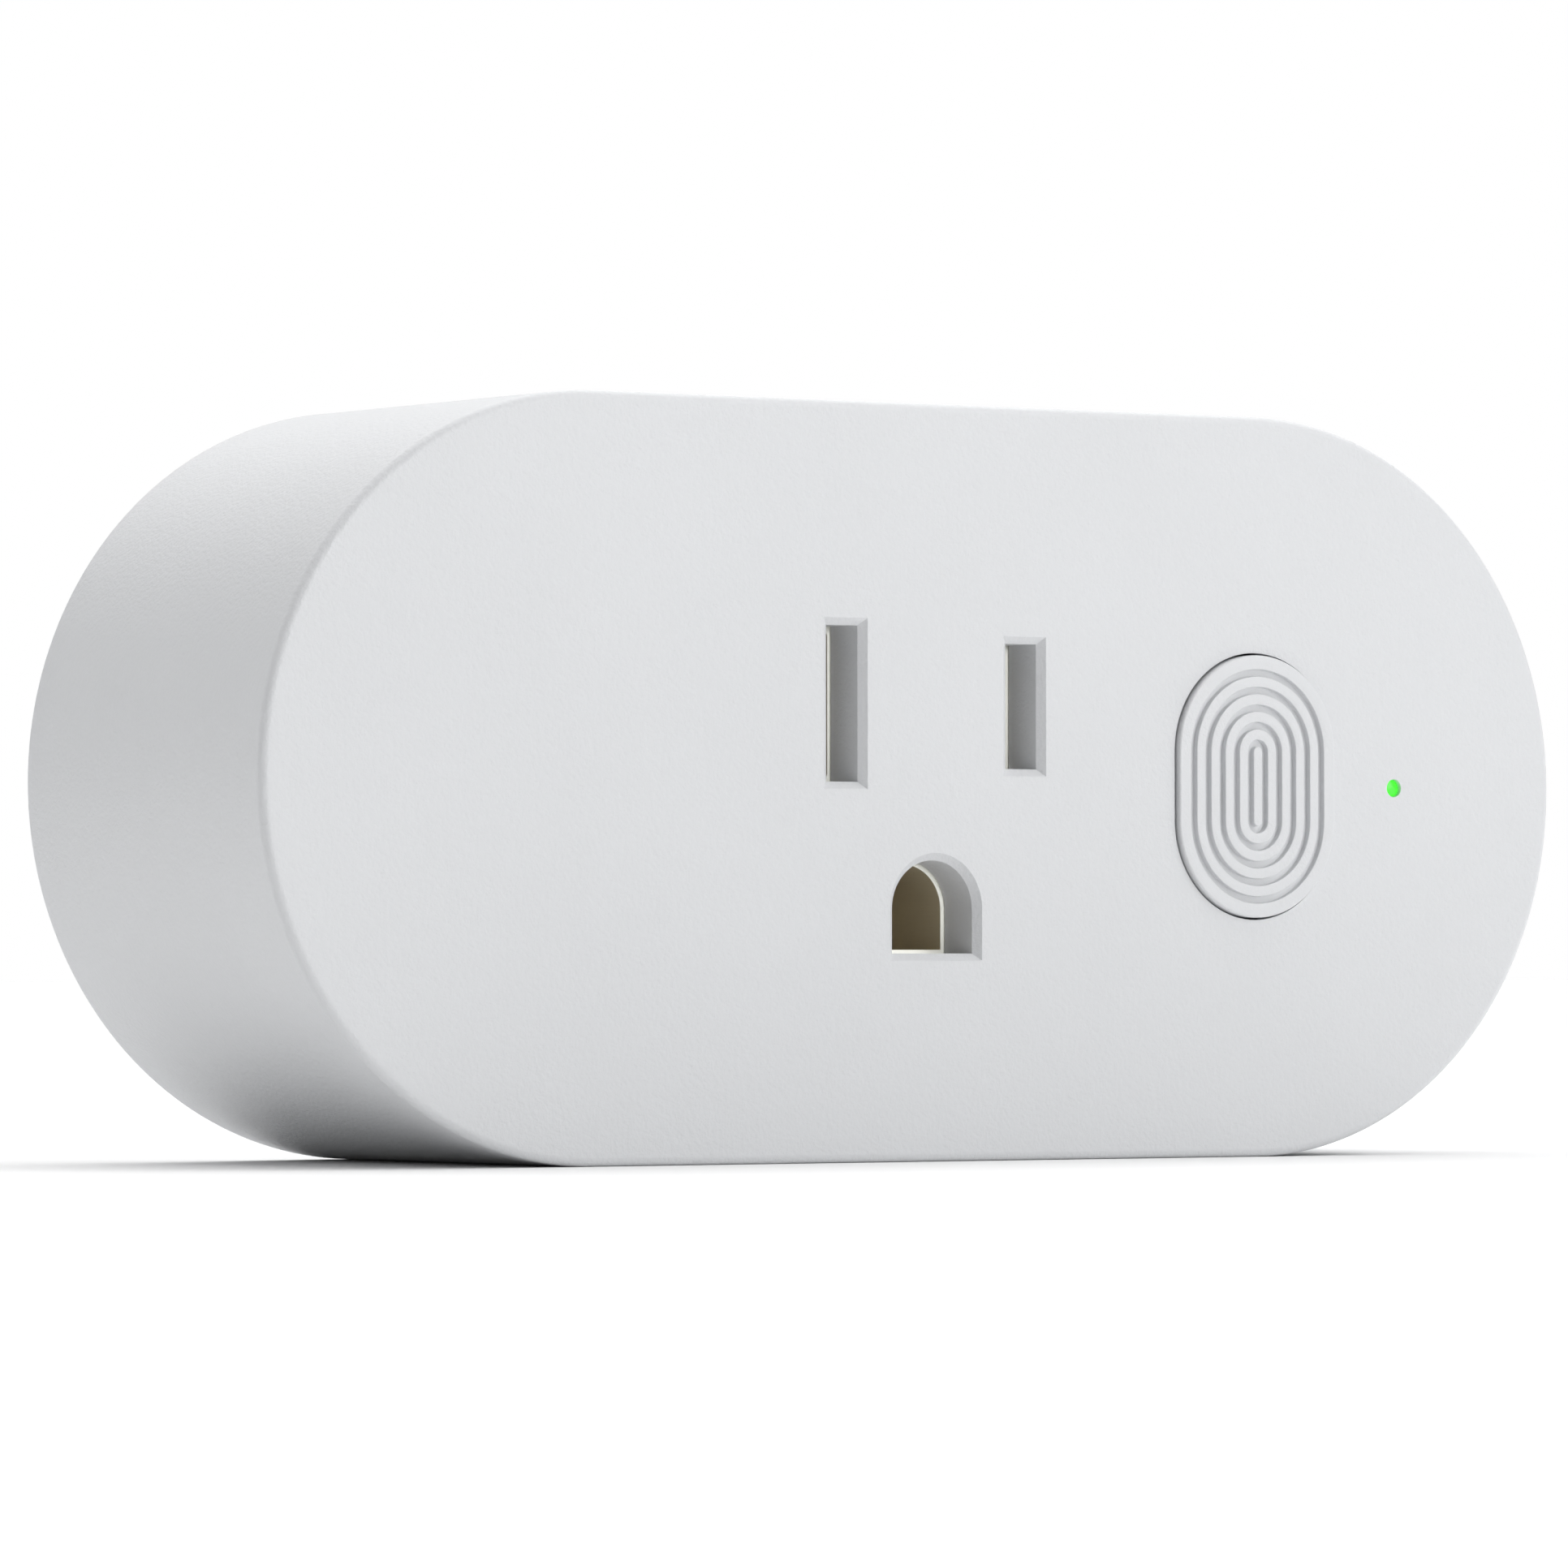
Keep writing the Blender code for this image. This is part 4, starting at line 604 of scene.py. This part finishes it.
def make_light():
    """The light pipe, with a softly domed tip in the face."""
    tip_y, foot_y = low_high("light_pipe", 1)
    left, right = low_high("light_pipe", 0)
    tip, flange = LIGHT_HOLE_RADIUS - LIGHT_GAP, (right - left) / 2
    shoulder = FACE_REAR_Y + SEAT_GAP
    turns = [math.radians(turn) for turn in DOME_TURNS]
    profile = [(tip * math.sin(turn), tip_y + LIGHT_DOME * (1 - math.cos(turn))) for turn in turns]
    profile += [(tip, shoulder), (flange, shoulder), (flange, shoulder + LIGHT_FLANGE)]
    profile += [(LIGHT_ROD_RADIUS, shoulder + LIGHT_FLANGE), (LIGHT_ROD_RADIUS, foot_y)]
    return settle(to_object("light", lathe(profile, LIGHT_PLACE)), "casing", "light_plastic", "light_pipe")


# Contacts, blades and pin.


def make_contact(node, place, outline, length, spread, leaf):
    """A drawn sleeve with a rolled front edge, two bowed leaves and a tail."""
    front_y, tail_y = low_high(node, 1)
    sleeve_end = front_y + length
    lip = SLEEVE_LIP
    profile = [(lip, front_y), (SLEEVE_WALL - lip, front_y), (SLEEVE_WALL, front_y + lip)]
    profile += [(SLEEVE_WALL, sleeve_end), (0, sleeve_end), (0, front_y + lip)]
    sleeve = loft([[(a, y, b) for a, b in outline(wall)] for wall, y in profile], closed=True)
    x, z = place
    start_y = sleeve_end - BITE
    out = spread + SLEEVE_WALL / 2
    bridge_y = front_y + CONTACT_LENGTH - LEAF_THICKNESS / 2
    path = [(out, start_y)]
    reach = bridge_y - LEAF_HOOK - start_y
    for i in range(1, LEAF_STEPS + 1):
        share = i / LEAF_STEPS
        lean = LEAF_PINCH * math.sin(math.pi * min(share / PINCH_SHARE, 1)) - LEAF_SPREAD * share ** 3
        path.append((out - lean, start_y + reach * share))
    path.append((path[-1][0], bridge_y))
    path = [(x - across, y) for across, y in path] + [(x + across, y) for across, y in path[::-1]]
    leaves = prism(strip(path, LEAF_THICKNESS), "Z", z - leaf / 2, z + leaf / 2)
    tail = prism(rectangle(TAIL_THICKNESS, TAIL_WIDTH, place), "Y", bridge_y, tail_y)
    return settle(to_object(node + "_fine", merge(sleeve, leaves, tail)), "casing", "brass", node)


def make_contacts():
    for node, place, height in (
        ("neutral_contact", NEUTRAL_PLACE, NEUTRAL_SLOT_HEIGHT),
        ("line_contact", LINE_PLACE, LINE_SLOT_HEIGHT),
    ):
        width, tall = SLOT_WIDTH - 2 * SLEEVE_INSET, height - 2 * SLEEVE_INSET

        def outline(wall, width=width, tall=tall, place=place):
            return rounded(width + 2 * wall, tall + 2 * wall, SLEEVE_CORNER + wall, place, steps=8)

        make_contact(node, place, outline, SLEEVE_LENGTH, width / 2, LEAF_HEIGHT)

    def arch(wall):
        grown = wall - GROUND_SLEEVE_INSET
        return arched(GROUND_HOLE_RADIUS + grown, GROUND_HOLE_FLAT + grown, GROUND_PLACE)

    spread = GROUND_HOLE_RADIUS - GROUND_SLEEVE_INSET
    leaf = GROUND_LEAF_SHARE * LEAF_HEIGHT
    make_contact("ground_contact", GROUND_PLACE, arch, GROUND_SLEEVE_LENGTH, spread, leaf)


def make_blade(node):
    """A blade with a tapered tip, rounded edges and the flange that the cover holds."""
    (left, right), (front, tip), (bottom, top) = (low_high(node, axis) for axis in range(3))
    x = (left + right) / 2
    low, high = bottom + FLANGE_LIP / 2, top - FLANGE_LIP / 2
    corner, edge = BLADE_TIP, BLADE_EDGE
    outline = [(front, low)] + arc((tip - corner, low + corner), corner, -90, 0, 12)
    outline += arc((tip - corner, high - corner), corner, 0, 90, 12) + [(front, high)]
    half = BLADE_THICKNESS / 2
    blade = prism(outline, "X", x - half, x + half)
    rims = [e for e in blade.edges if abs(e.verts[0].co.x - e.verts[1].co.x) < TOLERANCE]
    bmesh.ops.bevel(blade, geom=rims, offset=edge, segments=4, profile=0.5, affect="EDGES")
    flange = prism(rectangle(right - left, top - bottom, middle(node)), "Y", front, front + FLANGE_THICKNESS)
    return settle(to_object(node + "_fine", merge(blade, flange)), "casing", "nickel", node)


def make_pin():
    front, tip = low_high("ground_pin", 1)
    left, right = low_high("ground_pin", 0)
    flange = (right - left) / 2
    shoulder = front + FLANGE_THICKNESS
    profile = [(flange, front), (flange, shoulder), (PIN_RADIUS, shoulder)]
    dome = squashed_quarter(PIN_RADIUS, PIN_RADIUS, PIN_TIP_STEPS)
    profile += [(radius, tip - PIN_RADIUS + rise) for rise, radius in dome]
    return settle(to_object("pin_fine", lathe(profile, GROUND_PLACE)), "casing", "nickel", "ground_pin")


# Finishes. Each one is a Principled shader with its own pattern of colour, roughness and relief.


class Finish:
    """A material and the few calls that its patterns need."""

    def __init__(self, name, **sockets):
        self.material = bpy.data.materials.new(name)
        self.material.use_nodes = True
        self.tree = self.material.node_tree
        self.shader = self.tree.nodes["Principled BSDF"]
        for socket, value in sockets.items():
            self.shader.inputs[socket.replace("_", " ")].default_value = value
        self.place = self.tree.nodes.new("ShaderNodeTexCoord").outputs["Object"]

    def node(self, kind, **links):
        made = self.tree.nodes.new(kind)
        for name, value in links.items():
            socket = made.inputs[name.replace("_", " ")]
            if isinstance(value, bpy.types.NodeSocket):
                self.tree.links.new(value, socket)
            else:
                socket.default_value = value
        return made

    def link(self, output, name):
        self.tree.links.new(output, self.shader.inputs[name])

    def stretched(self, scale):
        """The object's own coordinates, stretched."""
        return self.node("ShaderNodeMapping", Vector=self.place, Scale=scale).outputs["Vector"]

    def noise(self, size, detail=2.0, place=None, rough=0.5):
        """Noise whose lumps are about this many metres across."""
        made = self.node(
            "ShaderNodeTexNoise", Vector=place or self.place, Scale=1 / size, Detail=detail, Roughness=rough
        )
        return made.outputs["Fac"]

    def ramp(self, value, low, high, start=0.3, end=0.7):
        """A grey value brought to the range from low to high."""
        made = self.node("ShaderNodeMapRange", Value=value)
        for socket, number in zip(made.inputs[1:5], (start, end, low, high)):
            socket.default_value = number
        return made.outputs["Result"]

    def colours(self, value, stops):
        """A grey value turned into colours, as (position, colour) stops."""
        made = self.node("ShaderNodeValToRGB", Fac=value)
        ramp = made.color_ramp
        while len(ramp.elements) < len(stops):
            ramp.elements.new(0.5)
        for element, (position, colour) in zip(ramp.elements, stops):
            element.position = position
            element.color = (*colour, 1)
        return made.outputs["Color"]

    def relief(self, height, depth, strength=1.0, under=None):
        """Raises the surface by a grey value of this depth in metres."""
        made = self.node("ShaderNodeBump", Height=height, Distance=depth, Strength=strength)
        if under is not None:
            self.tree.links.new(under, made.inputs["Normal"])
        return made.outputs["Normal"]


def tints(colour, spread):
    """Two colours just darker and just lighter than the one given."""
    return [tuple(min(1, part * (1 + way * spread)) for part in colour) for way in (-1, 1)]


def moulded(name, colour, roughness, grain, depth, spread=0.02, **sockets):
    """Moulded plastic: a fine even grain from the mould, and a faint drift of tone across the piece."""
    finish = Finish(name, **sockets)
    dark, light = tints(colour, spread)
    drift = finish.noise(14 * MM, 1.0)
    finish.link(finish.colours(drift, [(0.3, dark), (0.7, light)]), "Base Color")
    fine = finish.noise(grain, 3.0, rough=0.6)
    finish.link(finish.ramp(fine, roughness - 0.05, roughness + 0.06), "Roughness")
    finish.link(finish.relief(fine, depth), "Normal")
    return finish.material


def brushed(name, colour, roughness, way, spread=0.06):
    """Rolled or plated metal with faint lines one way, and a few duller patches."""
    finish = Finish(name, Metallic=1.0)
    stretch = tuple(BRUSH_STRETCH if axis == way else 1.0 for axis in "XYZ")
    lines = finish.noise(BRUSH_LINE, 2.0, finish.stretched(stretch))
    patches = finish.noise(3 * MM, 3.0)
    dark, light = tints(colour, spread)
    finish.link(finish.colours(patches, [(0.3, dark), (0.7, light)]), "Base Color")
    finish.link(finish.ramp(lines, roughness - 0.06, roughness + 0.1), "Roughness")
    finish.link(finish.relief(lines, BRUSH_DEPTH), "Normal")
    return finish.material


def contact_finish():
    """Tarnished spring brass. A pale band, whiter than real brass and not metallic, is a painted highlight on
    its front edge.
    """
    finish = Finish("spring_brass")
    axes = finish.node("ShaderNodeSeparateXYZ", Vector=finish.place)
    lines = finish.noise(BRUSH_LINE, 2.0, finish.stretched((1.0, BRUSH_STRETCH, 1.0)))
    front_y = low_high("neutral_contact", 1)[0]
    highlight_and_tarnish = finish.ramp(axes.outputs["Y"], 0, 1, front_y + PAINTED_HIGHLIGHT_EDGE, front_y + PAINTED_HIGHLIGHT_FADE)
    # The pale stops at the front edge, with Metallic 0 there, are a painted highlight; the last stop is the
    # tarnished brass.
    stops = [(0.0, (1.0, 1.0, 0.92)), (0.15, (1.0, 0.98, 0.88)), (1.0, (0.6, 0.53, 0.385))]
    finish.link(finish.colours(highlight_and_tarnish, stops), "Base Color")
    finish.link(finish.ramp(highlight_and_tarnish, 0, 0.3, 0, 1), "Metallic")
    finish.link(finish.ramp(lines, 0.42, 0.58), "Roughness")
    finish.link(finish.relief(lines, BRUSH_DEPTH), "Normal")
    return finish.material


def board_finish():
    """Solder mask over copper tracks and glass weave."""
    finish = Finish("board", Specular_IOR_Level=0.5)
    cells = finish.node("ShaderNodeTexVoronoi", Vector=finish.place, Scale=1 / (1.6 * MM))
    cells.distance = "CHEBYCHEV"
    cells.feature = "F1"
    tracks = finish.ramp(cells.outputs["Distance"], 0, 1, 0.30, 0.34)
    mask = finish.colours(tracks, [(0.0, (0.045, 0.27, 0.11)), (1.0, (0.02, 0.17, 0.075))])
    finish.link(mask, "Base Color")
    weave = finish.node("ShaderNodeTexWave", Vector=finish.place, Scale=1 / (0.9 * MM), Distortion=0.6)
    finish.link(finish.ramp(weave.outputs["Fac"], 0.28, 0.42, 0, 1), "Roughness")
    under = finish.relief(weave.outputs["Fac"], 0.006 * MM)
    finish.link(finish.relief(tracks, 0.03 * MM, under=under), "Normal")
    return finish.material


def winding_finish():
    """Enamelled copper wire in even turns around the relay's coil; the grooves between turns carry painted
    shade.
    """
    finish = Finish("winding", Metallic=0.9)
    scale = WAVE_BAND / (0.16 * MM)
    wave = finish.node("ShaderNodeTexWave", Vector=finish.place, Scale=scale, Distortion=0.15)
    wave.bands_direction = "Y"
    turns = wave.outputs["Fac"]
    # The dark stop falls in the grooves between turns, where the relief is lowest: painted shade.
    finish.link(finish.colours(turns, [(0.0, (0.25, 0.09, 0.04)), (0.6, (0.78, 0.33, 0.16))]), "Base Color")
    finish.link(finish.ramp(finish.noise(0.8 * MM), 0.25, 0.4), "Roughness")
    finish.link(finish.relief(turns, 0.06 * MM), "Normal")
    return finish.material


def ribbon_finish():
    """Grey insulation moulded over side-by-side wires; the grooves between them carry painted shade."""
    finish = Finish("ribbon")
    wave = finish.node("ShaderNodeTexWave", Vector=finish.place, Scale=WAVE_BAND / (1.0 * MM), Distortion=0.0)
    wave.bands_direction = "Z"
    wires = wave.outputs["Fac"]
    # The darker grey falls in the grooves between wires, where the relief is lowest: painted shade.
    finish.link(finish.colours(wires, [(0.0, (0.42, 0.42, 0.44)), (0.5, (0.62, 0.62, 0.64))]), "Base Color")
    finish.link(finish.ramp(finish.noise(0.3 * MM), 0.5, 0.65), "Roughness")
    finish.link(finish.relief(wires, 0.15 * MM), "Normal")
    return finish.material


def paper_finish():
    """Pressed insulating paper, with its fibres."""
    finish = Finish("fish_paper", Specular_IOR_Level=0.2)
    fibres = finish.noise(0.12 * MM, 5.0, finish.stretched((1.0, 1.0, 0.2)))
    finish.link(finish.colours(fibres, [(0.3, (0.66, 0.58, 0.4)), (0.7, (0.8, 0.73, 0.55))]), "Base Color")
    finish.link(finish.ramp(fibres, 0.75, 0.92), "Roughness")
    finish.link(finish.relief(fibres, 0.02 * MM), "Normal")
    return finish.material


def ferrite_finish():
    """Dark sintered ferrite, pitted and a little rusty; its pits carry painted shade."""
    finish = Finish("ferrite_core")
    pits = finish.node("ShaderNodeTexVoronoi", Vector=finish.place, Scale=1 / (0.35 * MM)).outputs["Distance"]
    # The darkest colour falls in the pits, where the relief is lowest: painted shade.
    finish.link(finish.colours(pits, [(0.1, (0.05, 0.045, 0.042)), (0.8, (0.11, 0.105, 0.1))]), "Base Color")
    finish.link(finish.ramp(pits, 0.5, 0.75, 0, 1), "Roughness")
    finish.link(finish.relief(pits, 0.04 * MM), "Normal")
    return finish.material


def lens_finish():
    """Clear green plastic, lit from behind, its glow varying a little at random."""
    finish = Finish("lit_lens", Emission_Strength=1.0)
    cloud = finish.noise(0.35 * MM, 2.0)
    tint = finish.colours(cloud, [(0.3, (0.03, 0.3, 0.02)), (0.7, (0.04, 0.36, 0.03))])
    finish.link(tint, "Base Color")
    glow = finish.colours(cloud, [(0.3, (0.045, 0.88, 0.02)), (0.7, (0.06, 0.92, 0.03))])
    finish.link(glow, "Emission Color")
    finish.link(finish.ramp(cloud, 0.2, 0.35), "Roughness")
    finish.link(finish.relief(cloud, 0.01 * MM), "Normal")
    return finish.material


def make_finishes():
    """One finish for each of the record's material slots."""
    return {
        "casing_plastic": moulded("casing_shell", SHELL_COLOUR, 0.45, GRAIN, GRAIN_DEPTH, 0.008),
        "button_plastic": moulded("button_cap_shell", SHELL_COLOUR, 0.42, GRAIN, 0.6 * GRAIN_DEPTH, 0.006),
        "light_plastic": lens_finish(),
        "black_plastic": moulded("black_moulding", (0.03, 0.03, 0.034), 0.45, 0.15 * MM, 0.02 * MM, 0.2),
        "cream_plastic": moulded("cream_moulding", (0.76, 0.71, 0.6), 0.5, 0.2 * MM, 0.015 * MM, 0.05),
        "board_green": board_finish(),
        "brass": contact_finish(),
        "nickel": brushed("nickel_plate", (0.72, 0.71, 0.68), 0.22, "Y"),
        "steel": brushed("zinc_plate", (0.6, 0.61, 0.63), 0.36, "Z"),
        "copper": brushed("bare_copper", (0.8, 0.41, 0.25), 0.32, "X", 0.12),
        "relay_blue": moulded("blue_case", (0.04, 0.14, 0.45), 0.3, 0.3 * MM, 0.01 * MM, 0.08),
        "varistor_blue": moulded("dipped_blue", (0.05, 0.19, 0.5), 0.35, 0.6 * MM, 0.05 * MM, 0.12),
        "sleeve_black": moulded("shrunk_sleeve", (0.02, 0.02, 0.028), 0.25, 0.8 * MM, 0.03 * MM, 0.25),
        "resistor_green": moulded("dipped_green", (0.09, 0.33, 0.28), 0.4, 0.4 * MM, 0.03 * MM, 0.12),
        "ferrite": ferrite_finish(),
        "ribbon_grey": ribbon_finish(),
        "paper": paper_finish(),
    }


def apply_finishes():
    finishes = make_finishes()
    slots = {part["node"]: part["material_slot"] for part in frame["record"]["subparts"]}
    winding = winding_finish()
    for name, thing in frame["nodes"].items():
        thing.data.materials.clear()
        thing.data.materials.append(winding if name == "relay_coil" else finishes[slots[name]])
    for thing in bpy.context.scene.objects:
        if "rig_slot" in thing:
            thing.data.materials.clear()
            thing.data.materials.append(finishes[thing["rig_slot"]])


# Studio.


def make_floor():
    low = cad_box[0][2]
    half = FLOOR_SIDE / 2
    shape = bmesh.new()
    corners = [(-half, -half), (half, -half), (half, half), (-half, half)]
    shape.faces.new([shape.verts.new((x, y, low)) for x, y in corners])
    floor = to_object("floor", shape)
    finish = Finish("floor_paper", Specular_IOR_Level=0.0, Roughness=1.0)
    tone = finish.noise(0.4, 1.0)
    pale = finish.colours(tone, [(0.3, (0.915, 0.915, 0.915)), (0.7, (0.925, 0.925, 0.925))])
    finish.link(pale, "Base Color")
    floor.data.materials.append(finish.material)


def make_room():
    """A white room: the camera sees it white, and it fills the shadows a little."""
    world = bpy.data.worlds.new("room")
    world.use_nodes = True
    bpy.context.scene.world = world
    tree = world.node_tree
    tree.nodes.clear()
    seen = tree.nodes.new("ShaderNodeBackground")
    fill = tree.nodes.new("ShaderNodeBackground")
    fill.inputs["Strength"].default_value = SURROUND
    for shade in (seen, fill):
        shade.inputs["Color"].default_value = (1, 1, 1, 1)
    path = tree.nodes.new("ShaderNodeLightPath")
    mix = tree.nodes.new("ShaderNodeMixShader")
    out = tree.nodes.new("ShaderNodeOutputWorld")
    tree.links.new(path.outputs["Is Camera Ray"], mix.inputs[0])
    tree.links.new(fill.outputs[0], mix.inputs[1])
    tree.links.new(seen.outputs[0], mix.inputs[2])
    tree.links.new(mix.outputs[0], out.inputs["Surface"])


def add_lamp(name, lamp, place, way):
    """A lamp that stands the way given from what it lights."""
    thing = bpy.data.objects.new(name, lamp)
    thing.location = place
    thing.rotation_euler = Vector(way).to_track_quat("Z", "Y").to_euler()
    thing.visible_camera = False
    bpy.context.scene.collection.objects.link(thing)
    return thing


def add_sky_lamp(name, way, width, strength):
    sky = bpy.data.lights.new(name, "SUN")
    sky.angle = math.radians(width)
    sky.energy = strength
    return add_lamp(name, sky, (0, 0, 1), way)


def make_lamps():
    """Broad light from around, a softbox that fades down the face, and a lamp for the contacts alone."""
    for name, values in SKY_LAMPS.items():
        add_sky_lamp(name, *values)
    contacts = bpy.data.collections.new("contacts")
    for thing in bpy.context.scene.objects:
        if thing.get("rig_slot") == "brass":
            contacts.objects.link(thing)
    add_sky_lamp("glint", *GLINT).light_linking.receiver_collection = contacts
    softbox = bpy.data.lights.new("softbox", "AREA")
    softbox.shape = "RECTANGLE"
    softbox.size, softbox.size_y = SOFTBOX_SIZE
    softbox.energy = SOFTBOX_WATTS
    add_lamp("softbox", softbox, SOFTBOX_PLACE, Vector(SOFTBOX_PLACE) - Vector((0, FRONT_Y, 0)))


def make_camera():
    lens = bpy.data.cameras.new("camera")
    lens.lens = LENS_MM
    lens.sensor_width = SENSOR_MM
    lens.clip_start = 0.01
    lens.clip_end = 30
    camera = bpy.data.objects.new("camera", lens)
    camera.location = CAMERA_PLACE
    camera.rotation_euler = CAMERA_TURN
    bpy.context.scene.collection.objects.link(camera)
    bpy.context.scene.camera = camera


make_casing()
make_cover()
for screw_node in SCREWS:
    make_screw(screw_node)
make_button()
make_light()
make_contacts()
make_blade("neutral_blade")
make_blade("line_blade")
make_pin()
apply_finishes()
make_floor()
make_room()
make_lamps()
make_camera()
bpy.context.scene.view_settings.view_transform = "Standard"
